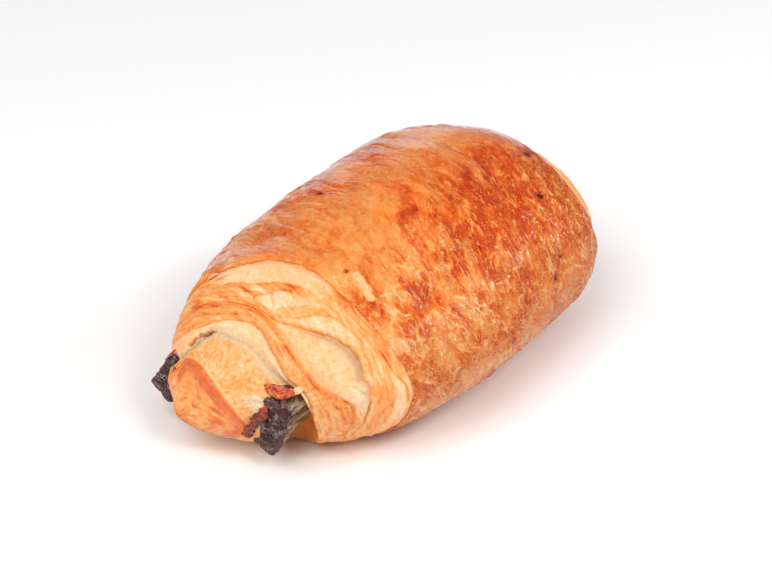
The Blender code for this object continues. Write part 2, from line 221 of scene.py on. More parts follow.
def spread_rows(stations, rows):
    """Rows of (run, height) through the stations: cubics whose slopes follow the chords either side."""
    p = np.array([np.stack(np.broadcast_arrays(*station, v)[:2]) for station in stations])
    chord = np.maximum(np.linalg.norm(np.diff(p, axis=0), axis=1), SHORTEST_CHORD)[:, None]
    chords = np.diff(p, axis=0) / chord
    before, after = chord[:-1], chord[1:]
    inner = (chords[:-1] * after + chords[1:] * before) / (before + after)
    slope = np.concatenate([chords[:1], inner, chords[-1:]])
    share = chord.mean(axis=(1, 2))
    place = np.interp(np.linspace(0, share.sum(), rows), np.concatenate([[0], np.cumsum(share)]),
                      np.arange(len(stations)))
    i = np.minimum(place.astype(int), len(stations) - 2)
    both = cubic(i, (place - i)[:, None, None], p, slope, chord[i])
    return both[:, 0], both[:, 1]


def noise(points, seed):
    """Gradient noise, about -1 to 1: a seeded slope at each corner of the cell, blended by a quintic."""
    slopes = np.random.default_rng(seed).normal(size=(SLOPES, 3))
    cell = np.floor(points).astype(np.int64)
    inside = points - cell
    blend = inside ** 3 * (inside * (6 * inside - 15) + 10)
    total = np.zeros(points.shape[:-1])
    for corner in np.ndindex(2, 2, 2):
        x, y, z = np.moveaxis((cell + corner) * CELL_PRIMES, -1, 0)
        weight = np.prod(np.where(corner, blend, 1 - blend), axis=-1)
        total += weight * np.sum(slopes[(x ^ y ^ z) & (SLOPES - 1)] * (inside - corner), axis=-1)
    return total * NOISE_GAIN


def rough(points, seed, octaves):
    """Noise added to itself at twice the fineness and half the height, octave by octave."""
    return sum(noise(points * 2.0 ** k, seed + k) * 0.5 ** k for k in range(octaves))


def wrapped(run, along, across):
    """Points on a cylinder, for noise that closes round the roll: along and across are its grain."""
    reach = ROLL_RADIUS / across
    return np.stack(np.broadcast_arrays(run / along, reach * np.cos(v), reach * np.sin(v)), axis=-1)


def woven(seed, along, across, octaves=1, moved=0.0):
    """Rough noise over the layer's rows, its grain that long along the roll and that wide round it."""
    return rough(wrapped(run + moved, along, across), seed, octaves)


def spot(along, at, at_degrees, width, degree_width):
    """A soft round mark on the roll, 1 at its middle."""
    return np.exp(-((degrees - at_degrees) / degree_width) ** 2 - ((along - at) / width) ** 2)


def lifted(run, height):
    """Points of the roll at that run, raised by height, less so where they meet the table."""
    u = u_at(run)
    base = skin(u, v)
    fade = ease(base[..., 2], 0.0, RELIEF_FADE)
    height = np.where(height > 0, height * fade, height * (HIDDEN_FADE + (1 - HIDDEN_FADE) * fade))
    points = base + skin_normal(u, v) * height[..., None]
    points[..., 2] = np.maximum(points[..., 2], 0.0)
    return points


def rolled_out(run, v):
    """Each point as it lies on a plain cylinder, so that a pattern can be stretched round the roll."""
    return np.stack(np.broadcast_arrays(run, ROLL_RADIUS * np.cos(v), ROLL_RADIUS * np.sin(v)), axis=-1)


def stand(name, data):
    """A new object for that data, in the scene."""
    made = bpy.data.objects.new(name, data)
    bpy.context.scene.collection.objects.link(made)
    return made


def grid_piece(name, points, grain, marks, poles=()):
    """A mesh of the grid, its last column joined to the first, with a middle point for each end named.

    grain is each point's place along and across the grain, and marks are values kept at each point.
    """
    rows, columns = points.shape[:2]
    index = np.arange(rows * columns).reshape(rows, columns)
    ahead = np.roll(index, -1, axis=1)
    quads = np.stack([index[:-1], ahead[:-1], ahead[1:], index[1:]], axis=-1).reshape(-1, 4)
    places, grain = points.reshape(-1, 3), grain.reshape(-1, 3)
    corners, starts = [quads.ravel()], [np.arange(len(quads)) * 4]
    for pole in poles:
        ring = 0 if pole == "start" else rows - 1
        centre = len(places)
        places = np.concatenate([places, points[ring].mean(axis=0, keepdims=True)])
        grain = np.concatenate([grain, grain[index[ring]].mean(axis=0, keepdims=True)])
        pair = (ahead[ring], index[ring]) if pole == "start" else (index[ring], ahead[ring])
        fan = np.stack([np.full(columns, centre), *pair], axis=-1)
        starts.append(sum(len(c) for c in corners) + np.arange(columns) * 3)
        corners.append(fan.ravel())
    mesh = bpy.data.meshes.new(name)
    mesh.vertices.add(len(places))
    mesh.vertices.foreach_set("co", (places * MM).ravel())
    corners, starts = np.concatenate(corners), np.concatenate(starts)
    mesh.loops.add(len(corners))
    mesh.loops.foreach_set("vertex_index", corners)
    mesh.polygons.add(len(starts))
    mesh.polygons.foreach_set("loop_start", starts)
    mesh.update(calc_edges=True)
    kept = mesh.attributes.new("grain", "FLOAT_VECTOR", "POINT")
    kept.data.foreach_set("vector", (grain * MM).ravel())
    for mark, values in marks.items():
        values = np.broadcast_to(values, (rows, columns))
        rings = {"start": values[0].mean(), "end": values[-1].mean()}
        values = np.concatenate([values.ravel(), [rings[pole] for pole in poles]])
        mesh.attributes.new(mark, "FLOAT", "POINT").data.foreach_set("value", values)
    mesh.shade_smooth()
    return stand(name, mesh)


# The functions above read v, lengths, degrees and run, which each layer of dough sets anew.
v, lengths, degrees = lines_along(CRUST_COLUMNS, CRUST_CROWDING)
lip = around(LIP_HEIGHT)
near_rim, far_rim = line(CRUST_LIP), far_line(around(FAR_CRUST_LIP))
near_rim = near_rim + rough(wrapped(near_rim, 6, 4), 3, 4) * 0.45
far_rim = far_rim + rough(wrapped(far_rim, 6, 4), 5, 4) * 0.6
run, height = spread_rows((
    (near_rim + 4.0, lip - 2.2), (near_rim + 1.2, lip - 1.1), (near_rim + 0.1, lip - 0.62),
    (near_rim - 0.05, lip - 0.3), (near_rim + 0.3, lip - 0.02), (near_rim + 2.0, 0.9 * lip),
    (near_rim + 6.0, 0.35 * lip), (near_rim + 12.0, 0.0), (0.5 * (near_rim + far_rim), 0.0),
    (far_rim - 12.0, 0.0), (far_rim - 5.0, 0.1), (far_rim - 0.7, 0.25), (far_rim + 0.05, 0.0),
    (far_rim - 0.1, -0.4), (far_rim - 1.5, -1.1), (far_rim - 4.0, -2.0)), CRUST_ROWS)
u = u_at(run)

# Where things lie on the crust, each from 0 to 1.
front = ease(degrees, 92, 128) * ease(degrees, 262, 225)
under = ease(degrees, 215, 240) * ease(degrees, 325, 300)
flank = ease(degrees, 100, 62)
near_flank = ease(degrees, 88, 66) * ease(u, 0.62, 0.42)
outer = ease(run, near_rim + 0.3, near_rim + 5) * ease(run, far_rim, far_rim - 3)
near_tan = hump(run - near_rim - 1.5, 5.0) * ease(degrees, 84, 104) * ease(degrees, 185, 160)
rim_tan = hump(run - near_rim, 3.0)

# Relief in millimetres: slow swelling with one dent, long wrinkles on the flank, and on the front
# plates of skin with ridges between them; a strip is peeled off and the burnt dots are pits.
warp = 1.5 * woven(21, 9, 11)
waves = woven(22, 4.6, 19, moved=warp)
slant = 0.16 * ROLL_RADIUS * np.sin(v) + 2.0 * woven(26, 14, 9)
long_folds = np.abs(woven(23, 1.1, 9, moved=0.8 * warp + slant)) ** 0.7
fold_size = ease(woven(27, 7, 12), -0.35, 0.4)
blisters = woven(24, 2.1, 4.2, 3, moved=0.5 * warp)
folded = np.abs(woven(28, 2.0, 4.6, moved=0.9 * warp))
cracked = ease(folded, 0.09, 0.01) * ease(woven(30, 3.0, 5), -0.15, 0.15)
puckers = np.abs(woven(29, 0.9, 1.7, moved=0.6 * warp)) ** 0.8
fine = woven(31, 0.9, 2.0, 2)
raised = ease(blisters, 0.0, 0.35)
dots = sum(np.exp(-((run - length_at(at)) ** 2 + (ROLL_RADIUS * np.radians(degrees - at_degrees)) ** 2)
                  / radius ** 2) for at, at_degrees, radius in BURNT_DOTS)
peel_at = length_at(straight(PEELED_LINE))
peeled = hump(run - peel_at + 0.35 * fine, 0.9) * ease(degrees, 107, 110) * ease(degrees, 125, 121)
peeled = ease(peeled, 0.15, 0.5)
ripple = np.sin(5 * v + 14 * u) * np.sin(9 * u * math.pi + 2) + 0.6 * np.sin(3 * v - 21 * u + 1)
dent = DENT_DEPTH * np.exp(-((u - DENT_AT) / 0.08) ** 2 - ((v - math.radians(DENT_ANGLE)) / 0.5) ** 2)
height += (0.25 + 0.2 * ripple - dent) * ease(u, 0.25, 0.35) * ease(u, 0.92, 0.82)
wrinkles = WRINKLE_HEIGHT * (long_folds - 0.25) * (0.3 + 0.7 * fold_size)
relief = WAVE_HEIGHT * waves + wrinkles * (0.2 + 0.8 * flank) * (1 - 0.7 * front)
plates = BLISTER_HEIGHT * raised - PLATE_DEPTH * (folded ** 0.7 - 0.25) * (0.4 + 0.6 * fold_size)
relief += (0.15 + 0.95 * front) * (plates - PUCKER_DEPTH * (puckers - 0.25))
relief += GRAIN_HEIGHT * fine * (0.4 + front) - PEEL_DEPTH * peeled - BURNT_DEPTH * dots
height += relief * (0.2 + 0.8 * outer)

# How far each place is baked, from raw at 0 to burnt at 1, and what the finish adds there; some terms
# that brown the far end and the flank's creases are painted shade.
patches = woven(41, 8, 13, 3)
scorched = hump(degrees - 124, 23) * ease(u, 0.38, 0.54) * ease(u, 1.0, 0.80)
scorched += (0.25 + 0.4 * front) * ease(patches, -0.25, 0.3)
wet = spot(u, 0.385, 136, 0.055, 15) * ease(waves, -0.3, 0.1)
veined = front * np.maximum(ease(degrees, 128, 160), ease(u, 0.72, 0.86))
flecked = 0.48 + 0.52 * np.clip(front + near_tan, 0, 1) - 0.25 * ease(degrees, 75, 55)
dark_pools = sum(spot(u - 0.006 * fine, at, at_degrees - 3 * fine, 0.012, 4.5)
                 for at, at_degrees in DARK_POOLS)
bake = 0.60 + 0.06 * patches + 0.03 * raised + 0.07 * scorched - 0.04 * rim_tan - 0.03 * near_tan
bake += 0.05 * front - 0.42 * cracked * ease(degrees, 102, 128) * front
bake += 0.09 * (0.3 + 0.7 * front) * blisters - 0.06 * spot(u, 0.47, 106, 0.08, 14)
bake += 0.05 * hump(run - near_rim - 2.5, 4.0) * ease(degrees, 104, 120) * front
bake += 0.05 * ease(u, 0.42, 0.62) * ease(degrees, 60, 85) - 0.04 * front * ease(u, 0.55, 0.32)
# Painted shade: 0.06 past u = 0.80 and 0.05 on the front past u = 0.58 brown the far end for the less light
# it gets.
bake += 0.14 * under - 0.02 * ease(degrees, 150, 200) + 0.06 * ease(u, 0.80, 0.92)
bake += 0.07 * ease(degrees, 84, 56) * (1 - 0.8 * near_flank) + 0.05 * front * ease(u, 0.58, 0.76)
bake += 0.01 * ease(degrees, 98, 84) * ease(u, 0.6, 0.4) + 0.04 * (puckers - 0.3) * (1 - front)
# Painted shade: browner in the creases of the long wrinkles on the flank.
bake += 0.10 * ease(long_folds, 0.24, 0.05) * flank * (0.3 + 0.7 * fold_size)
bake = np.minimum(bake + 0.16 * np.clip(1.3 * dark_pools, 0, 1), DARKEST_BAKE)
bake += 0.38 * np.clip(1.6 * dots, 0, 1)
bake += (0.20 + 0.10 * fine - bake) * peeled
bake[:HIDDEN_ROWS], bake[1 - HIDDEN_ROWS:] = NEAR_FOLDED_BAKE, FAR_FOLDED_BAKE


def feed(tree, node, inputs):
    """Gives a node's sockets their values, or the links that drive them."""
    for key, value in dict(inputs).items():
        if isinstance(value, bpy.types.NodeSocket):
            tree.links.new(value, node.inputs[key])
        else:
            node.inputs[key].default_value = value


def add(tree, kind, inputs=(), **settings):
    """A shader node of that kind, its own properties set and its sockets fed."""
    made = tree.nodes.new("ShaderNode" + kind)
    for key, value in settings.items():
        setattr(made, key, value)
    feed(tree, made, inputs)
    return made


def calc(operation, *terms):
    """The result of a Math node on values or sockets, in the tree that the sockets are in."""
    tree = next(term.id_data for term in terms if isinstance(term, bpy.types.NodeSocket))
    return add(tree, "Math", enumerate(terms), operation=operation).outputs[0]


times, times_plus, larger = (partial(calc, name) for name in ("MULTIPLY", "MULTIPLY_ADD", "MAXIMUM"))


def mark_of(tree, name, output="Fac"):
    """A mark or place that the mesh keeps at each of its points."""
    return add(tree, "Attribute", attribute_name=name).outputs[output]


def mask(value, low, high, ends=(0.0, 1.0)):
    """A value mapped straight from low and high to the two ends, and held at them outside."""
    return add(value.id_data, "MapRange", {"Value": value, "From Min": low, "From Max": high,
                                            "To Min": ends[0], "To Max": ends[1]}).outputs[0]


def speckle(place, scale, detail, roughness=0.5, distortion=0.0, offset=0.0):
    """A noise texture's value, its scale in cells a metre; one scale for each axis stretches it."""
    tree = place.id_data
    if isinstance(scale, tuple):
        place = add(tree, "Mapping", {"Vector": place, "Scale": scale, "Location": (offset, offset, 0.0)})
        place, scale = place.outputs[0], 1.0
    return add(tree, "TexNoise", {"Vector": place, "Scale": scale, "Detail": detail, "Roughness": roughness,
                                  "Distortion": distortion}).outputs[0]


def srgb(red, green, blue):
    """A linear colour, with alpha, from the three 0 to 255 values of a screen colour."""
    share = np.array([red, green, blue]) / 255
    linear = np.where(share < 0.04045, share / 12.92, ((share + 0.055) / 1.055) ** 2.4)
    return (*linear, 1.0)


def ramp(value, stops):
    """Colours by value: stops are (value, red, green, blue), rising, and blended straight between."""
    made = add(value.id_data, "ValToRGB", {"Fac": value})
    elements = made.color_ramp.elements
    for at, *_ in stops[1:-1]:
        elements.new(at)
    for i, (at, *colour) in enumerate(stops):
        elements[i].position, elements[i].color = at, srgb(*colour)
    return made.outputs[0]


BAKED_COLOURS = ((0.00, 250, 224, 184), (0.15, 248, 208, 164), (0.30, 246, 189, 131),
                 (0.45, 246, 166, 88), (0.60, 241, 142, 66), (0.72, 226, 106, 32), (0.86, 200, 62, 12),
                 (1.00, 84, 30, 20))
# The grey that the Shade mark blends in: mostly painted shade in crevices, holes, folds and under lips,
# also the grey of thin translucent skin.
SHADE_AND_GREY_SKIN_COLOUR = srgb(180, 164, 132)
DOUGH_MARKS = ("Bake", "Shade", "Mottle", "Streaks")
EGG_COAT_IOR = 1.42
PALEST_VEIN, DARKEST_POOL = 0.26, 0.88

# Noises on the crust: cells a metre along the grain and across it, offset, detail and distortion.
CRUST_PATTERNS = {
    "wavy": (480, 330, 3, 3, 1.8), "broken": (260, 190, 7, 3, 0.5), "curly": (1050, 820, 5, 2, 2.2),
    "strewn": (210, 150, 9, 2, 0.5), "flecks": (420, 260, 11, 5, 0.9), "specks": (1150, 800, 13, 3, 0.6),
    "pools": (230, 130, 17, 3, 1.0), "spots": (520, 300, 23, 2, 0.6)}


def dough_group():
    """Baked dough: colour by how far it is baked, mottled all over and streaked along the grain."""
    tree = bpy.data.node_groups.new("baked_dough", "ShaderNodeTree")
    for name in DOUGH_MARKS:
        tree.interface.new_socket(name, in_out="INPUT", socket_type="NodeSocketFloat")
    tree.interface.new_socket("Color", in_out="OUTPUT", socket_type="NodeSocketColor")
    tree.interface.new_socket("Height", in_out="OUTPUT", socket_type="NodeSocketFloat")
    given = tree.nodes.new("NodeGroupInput").outputs
    place = add(tree, "TexCoord").outputs["Object"]
    grain = mark_of(tree, "grain", "Vector")
    fine = speckle(place, 1900.0, 3.0, 0.65)
    middle = speckle(place, 620.0, 4.0, 0.6)
    thin = speckle(grain, (1900.0, 330.0, 330.0), 3.0, distortion=0.3)
    broad = speckle(grain, (720.0, 170.0, 170.0), 4.0, distortion=0.6)
    mottle = times_plus(middle, 1.3, times_plus(fine, 0.9, -1.1))
    lines = times_plus(broad, 1.4, times_plus(thin, 1.0, -1.2))
    bake = times_plus(mottle, given["Mottle"], given["Bake"])
    bake = times_plus(lines, given["Streaks"], bake)
    # Shade mixes in that grey: painted shade, save on translucent skin where it is the dough's own grey.
    shaded = add(tree, "Mix", {"Factor": given["Shade"], "A": ramp(bake, BAKED_COLOURS),
                               "B": SHADE_AND_GREY_SKIN_COLOUR}, data_type="RGBA", clamp_factor=True)
    rise = times_plus(fine, 0.25, times(middle, 0.7))
    rise = times_plus(lines, times(given["Streaks"], 1.6), rise)
    feed(tree, tree.nodes.new("NodeGroupOutput"), {"Color": shaded.outputs["Result"], "Height": rise})
    return tree


def vein(value, low, high):
    """Thin lines where a noise crosses its middle: 1 while it is off by less than low, 0 past high."""
    return mask(calc("ABSOLUTE", calc("SUBTRACT", value, 0.5)), low, high, (1.0, 0.0))


def new_finish(name):
    """A new material of that name, with its tree and the shader in it."""
    made = bpy.data.materials.new(name)
    made.use_nodes = True
    return made, made.node_tree, made.node_tree.nodes["Principled BSDF"]


def crust_material(group, depth):
    """The egg-washed skin: dough with pale veins and flecks, glossy dark pools and small burnt spots."""
    made, tree, shader = new_finish("egg_washed_crust")
    names = ("bake", "shade", "mottle", "streaks", "glaze", "front", "scorched", "veined", "flecked")
    bake, shade, mottle, streaks, glaze, front, scorched, veined, flecked = (
        mark_of(tree, name) for name in names)
    grain = mark_of(tree, "grain", "Vector")
    found = {name: speckle(grain, (along, across, across), detail, 0.6, distortion, offset)
             for name, (along, across, offset, detail, distortion) in CRUST_PATTERNS.items()}
    thick = times(vein(found["wavy"], 0.010, 0.030), mask(found["broken"], 0.50, 0.60))
    here = larger(times(mask(found["strewn"], 0.40, 0.60), 0.6), veined)
    thin = times(vein(found["curly"], 0.012, 0.044), here)
    veins = larger(thick, times(thin, 0.8))
    specks = times(mask(found["specks"], 0.565, 0.64), 0.9)
    flecks = larger(mask(found["flecks"], 0.56, 0.74), specks)
    pools = mask(found["pools"], 0.45, 0.58)
    spots = mask(found["spots"], 0.69, 0.75)
    amount = times_plus(front, 0.75, 0.25)
    baked = times_plus(times(pools, scorched), 0.22, bake)
    baked = calc("MINIMUM", baked, larger(bake, DARKEST_POOL))
    baked = times_plus(times(spots, amount), 0.14, baked)
    baked = times_plus(times(flecks, flecked), -0.27, baked)
    baked = times_plus(times(veins, amount), -0.42, baked)
    baked = larger(baked, PALEST_VEIN)
    dough = add(tree, "Group", {"Bake": baked, "Shade": shade, "Mottle": mottle, "Streaks": streaks},
                node_tree=group).outputs
    rise = times_plus(veins, 0.35, times(dough["Height"], 0.6))
    rise = times_plus(pools, -0.3, times_plus(flecks, 0.25, rise))
    rise = times(rise, times_plus(front, 0.3, 0.7))
    bump = add(tree, "Bump", {"Height": rise, "Strength": 0.9, "Distance": depth})
    dry = times_plus(larger(veins, flecks), 0.18, 0.24)
    feed(tree, shader, {
        "Base Color": dough["Color"], "Normal": bump.outputs[0], "Roughness": times_plus(pools, -0.07, dry),
        "Coat Weight": glaze, "Coat IOR": EGG_COAT_IOR, "Coat Roughness": 0.07, "Specular IOR Level": 0.15})
    return made


def dress(piece, finish, node):
    """Gives a piece its finish and its body, and hides the solid that it stands for."""
    piece.data.materials.append(finish)
    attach(piece, "root")
    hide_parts(node)


dough = dough_group()
glaze = (0.15 + 0.85 * outer) * (1 - 0.7 * under) * (1 - 0.3 * near_flank)
glaze = glaze * (1 - 0.68 * front + 0.8 * wet)
crust = grid_piece("crust", lifted(run, height), rolled_out(run, v), {
    "bake": bake, "shade": 0.0, "mottle": 0.23 - 0.14 * front, "streaks": 0.11 - 0.07 * front,
    "glaze": glaze, "front": front, "scorched": np.clip(scorched, 0, 1), "veined": veined,
    "flecked": np.clip(flecked, 0, 1)})
dress(crust, crust_material(dough, 0.40 * MM), "pastry")


# The coil's middle
# The heart of the sheet, which the oven pushed out of the near end: a glossy fold that turns over at
# the tip, and behind it two soft swellings with a crevice between them, painted grey as shade. The next
# turn lies over it.
RIDGE_LINE = ((0, .34), (46, .372), (57, .378), (69, .370), (86, .345), (111, .314), (138, .298),
              (168, .302), (205, .337), (290, .36))
MOUND_EDGE = ((20, .38), (45, .402), (61, .462), (74, .492), (91, .500), (108, .496), (121, .479),
              (132, .470), (160, .46), (210, .47), (300, .44))
VALLEY_LINE = ((10, .395), (32, .410), (45, .438), (54, .473), (60, .503), (67, .518), (86, .516),
               (104, .520), (114, .507), (128, .497), (140, .498), (160, .51), (200, .53), (280, .50))
SLIT_LINE = ((42, .446), (48, .466), (53, .489), (61, .510), (66, .526))
COIL_LIP = ((26, .507), (50, .531), (75, .590), (95, .604), (119, .554), (141, .525), (155, .542),
            (175, .538), (190, .542), (208, .575), (270, .59), (330, .53))
TIP_HEIGHT = ((60, .1), (150, .1), (250, .5), (335, -.5))
RIDGE_HEIGHT = ((30, .2), (70, .8), (150, .7), (200, .5), (280, .5), (340, -.2))
LOBE_HEIGHT = ((30, .2), (90, .5), (140, .4), (200, .3), (280, .4))
VALLEY_HEIGHT = ((20, -.5), (45, -1.5), (62, -1.3), (82, -.7), (130, -.9), (200, -.8), (300, -.5))
PAD_HEIGHT = ((30, -.2), (75, .2), (130, .1), (180, -.2), (300, -.3))
UNDER_LIP = ((30, -.3), (75, -.35), (110, -.5), (150, -.65), (300, -.5))
CORE_ROWS, CORE_COLUMNS, CORE_CROWDING = 200, 420, 0.35
DEEPEST_TIP_BAKE, HOLE_SHADE_BAKE, POCKET_BAKE = 0.73, 0.97, 0.50
TIP_SPOTS = ((.28, 51, .025, 7, .10), (.35, 54, .02, 7, .10), (.24, 97, .03, 9, .06))
STREAK_RELIEF, FIBRE_RELIEF, PORE_RELIEF, LUMP_RELIEF, HOLE_DEPTH = 0.22, 0.20, 0.12, 0.13, 1.3

# The hollow beside the right bar: part of an ellipsoid, turned to where it opens.
POCKET_CENTRE = (-48.8, -12.7, 8.0)
POCKET_RADII = (17.0, 6.4, 14.5)
POCKET_YAW = 30.0
POCKET_SOFTNESS = 0.9
POCKET_REACH = 1.6
PAST_THE_WALL = 40.0


def pushed_in(points):
    """Points in front of the pocket's wall go back to it: an ellipsoid's far side, met smoothly.

    With d the way into the pocket, each point's reach along d becomes the larger of its own and the
    wall's, centre + R sqrt(1 - rho^2), where rho is the distance from the axis in shares of the radii.
    """
    yaw = math.radians(POCKET_YAW)
    inward = np.array([math.cos(yaw), math.sin(yaw), 0.0])
    aside = np.array([-math.sin(yaw), math.cos(yaw), 0.0])
    offset = points - np.array(POCKET_CENTRE)
    rho = np.hypot(offset @ aside / POCKET_RADII[1], offset[..., 2] / POCKET_RADII[2])
    wall = POCKET_RADII[0] * np.sqrt(np.clip(1 - rho ** 2, 0, 1))
    wall = wall - PAST_THE_WALL * np.clip(rho - 1, 0, None)
    gap = wall - offset @ inward
    push = 0.5 * (gap + np.sqrt(gap ** 2 + POCKET_SOFTNESS ** 2))
    push = np.where(rho < POCKET_REACH, push, 0.0) * ease(push, 0.02, 0.2)
    return points + push[..., None] * inward, ease(push, 0.3, 2.5)


def within(low, high, soft):
    """1 for lines between low and high degrees, fading over soft degrees at both ends."""
    return ease(degrees, low - soft, low + soft) * ease(degrees, high + soft, high - soft)


def between(start, end, soft):
    """1 for runs between start and end, fading over soft at both."""
    return ease(run, start - soft, start + soft) * ease(run, end + soft, end - soft)


def area(start, end, soft, low, high, soft_degrees):
    """1 between those runs and those degrees, fading at all four sides."""
    return between(start, end, soft) * within(low, high, soft_degrees)


def spots(rows):
    """Soft marks on the near end, added up: (share, degrees, width, degree width, how strong)."""
    return sum(strength * spot(share, *place) for *place, strength in rows)


def coil_material(group, depth):
    """The dough of the coil: its own marks fed to the group, under a coat of egg where it has one."""
    made, tree, shader = new_finish("coil_dough")
    marks = {mark: mark_of(tree, mark.lower()) for mark in DOUGH_MARKS}
    dough = add(tree, "Group", marks, node_tree=group).outputs
    bump = add(tree, "Bump", {"Height": dough["Height"], "Strength": 0.7, "Distance": depth})
    feed(tree, shader, {
        "Base Color": dough["Color"], "Normal": bump.outputs[0], "Coat Weight": mark_of(tree, "glaze"),
        "Coat IOR": EGG_COAT_IOR, "Coat Roughness": 0.18, "Specular IOR Level": 0.35, "Roughness": 0.5})
    return made


v, lengths, degrees = lines_along(CORE_COLUMNS, CORE_CROWDING)
coil_lip = line(COIL_LIP)
valley = np.minimum(line(VALLEY_LINE), coil_lip - 1.2)
mound_edge = np.minimum(line(MOUND_EDGE), valley - 0.9)
ridge = np.minimum(line(RIDGE_LINE), mound_edge - 2.6)
ridge_height, lobe_height, valley_height = (
    around(heights) for heights in (RIDGE_HEIGHT, LOBE_HEIGHT, VALLEY_HEIGHT))
run, height = spread_rows((
    (0.3, 0.0), (0.5 * ridge, around(TIP_HEIGHT)), (ridge - 2.2, 0.8 * ridge_height - 0.1),
    (ridge - 1.2, ridge_height), (ridge - 0.2, ridge_height + 0.05), (ridge + 0.5, ridge_height - 0.45),
    (ridge + 1.2, ridge_height - 0.5), (0.5 * (ridge + mound_edge), lobe_height + 0.1),
    (mound_edge - 0.7, 0.6 * lobe_height - 0.1), (mound_edge + 0.2, 0.6 * valley_height - 0.1),
    (0.4 * mound_edge + 0.6 * valley, 0.8 * valley_height - 0.1), (valley + 0.3, 0.7 * valley_height),
    (0.45 * valley + 0.55 * coil_lip, around(PAD_HEIGHT)), (coil_lip + 0.2, around(UNDER_LIP)),
    (coil_lip + 2.5, -2.0), (coil_lip + 5.5, -3.6)), CORE_ROWS)
share = u_at(run) / NEAR_SHARE
base = lifted(run, height)

# Where things lie: the fold at the tip, the first swelling, the crevice and the second swelling.
on_tip = ease(run, ridge + 0.6, ridge - 0.2)
on_mound = between(ridge + 0.8, mound_edge - 0.1, 0.4)
in_valley = between(mound_edge - 0.1, valley + 0.2, 0.5)
on_pillow = ease(run, valley - 0.3, valley + 0.8)
on_ridge = ease(run, ridge - 4.6, ridge - 1.2) * ease(run, ridge + 0.5, ridge) * within(44, 240, 10)

# Relief in millimetres: streaks on the fold, pores and lumps, and slits torn in the crevice.
streaks = woven(42, 1.35, 12, 3, moved=0.5 * np.sin(3 * v) - 0.9 * ridge)
pores, lumps, blotch = rough(base / 0.9, 43, 3), rough(base / 2.4, 45, 3), rough(base / 5, 44, 3)
fibres = woven(46, 0.6, 1.7, 3, moved=0.4 * pores)
jagged = run + 0.5 * woven(47, 1.6, 1.3, 3)
height += STREAK_RELIEF * on_tip * streaks + FIBRE_RELIEF * on_mound * fibres
height += PORE_RELIEF * (1 - on_tip) * pores + LUMP_RELIEF * lumps
from_slit = share - straight(SLIT_LINE)
holes = hump(from_slit, .012) * (within(45, 51, 1) + 0.8 * within(53, 56, 1) + within(58, 66, 1.5))
holes = ease(holes + 0.35 * pores, 0.45, 0.8) * (holes > 0.02)
torn = hump(from_slit - .006 * pores, .006) * within(42, 68, 2) * ease(fibres, -0.35, 0.0)
holes = np.maximum(holes, 0.9 * ease(torn, 0.3, 0.8))
translucent = np.clip(1.5 * spot(share, .385, 155, .035, 13), 0, 1)
translucent *= ease(degrees, 138, 146) * ease(share, .335, .36)
height += translucent * (0.25 + 0.2 * pores) - HOLE_DEPTH * holes
core_points, pushed = pushed_in(lifted(run, height))

# How far each place is baked, and painted grey shade in the crevice, round the holes and under the
# next turn's lip; the grey of the translucent patch is its own.
bake = 0.30 + 0.05 * blotch + 0.03 * lumps + 0.06 * pores * (1 - on_tip)
bake += on_tip * (0.25 + 0.23 * streaks * (1 - 0.4 * on_ridge) + 0.07 * blotch) + 0.20 * on_ridge
bake += on_mound * (0.08 + 0.07 * blotch + 0.17 * fibres) + spots(TIP_SPOTS)
bake = np.where(on_tip > 0.5, np.minimum(bake, DEEPEST_TIP_BAKE), bake)
bake += 0.12 * ease(run, coil_lip - 0.7, coil_lip - 0.1) - 0.28 * translucent
bake += -0.09 * on_pillow * (1 - 0.6 * within(20, 42, 12)) - 0.04 * in_valley
bake += (POCKET_BAKE + 0.10 * blotch + 0.06 * pores - bake) * pushed
# Painted shade in the holes: their insides go near black-brown, and grey is painted round them below.
gap = ease(holes, 0.55, 0.85)
bake += (HOLE_SHADE_BAKE - bake) * gap
# Painted shade: grey in the crevice, along its upper edge and just under the next turn's lip; the
# translucent patch adds its own grey.
crease = ease(jagged, valley - 1.6, valley - 1.0) * ease(jagged, valley + 0.7, valley)
valley_shade_edge = ease(jagged, valley - 0.6, valley) * ease(jagged, valley + 2.2, valley + 0.6)
shade = crease * (0.95 * within(34, 64, 6) + 0.30 * within(64, 145, 8))
shade += 0.22 * valley_shade_edge * within(60, 145, 8)
tucked_in = ease(run, coil_lip + 0.2, coil_lip + 1.0)
shade += 0.25 * (spot(share, .475, 130, .03, 7) + translucent + tucked_in)
shade = np.maximum(np.clip(shade, 0, 1), 0.8 * ease(holes, 0.05, 0.4)) * (1 - pushed) * (1 - 0.8 * gap)

coil_finish = coil_material(dough, 0.42 * MM)
core = grid_piece("coil_middle", core_points, rolled_out(run, v), {
    "bake": bake, "shade": shade, "mottle": 0.26 + 0.14 * on_mound - 0.14 * on_tip,
    "streaks": 0.05 + 0.06 * on_tip + 0.06 * on_mound, "glaze": 0.7 * on_tip + 0.5 * translucent + 0.05},
    poles=("start",))
dress(core, coil_finish, "pastry")


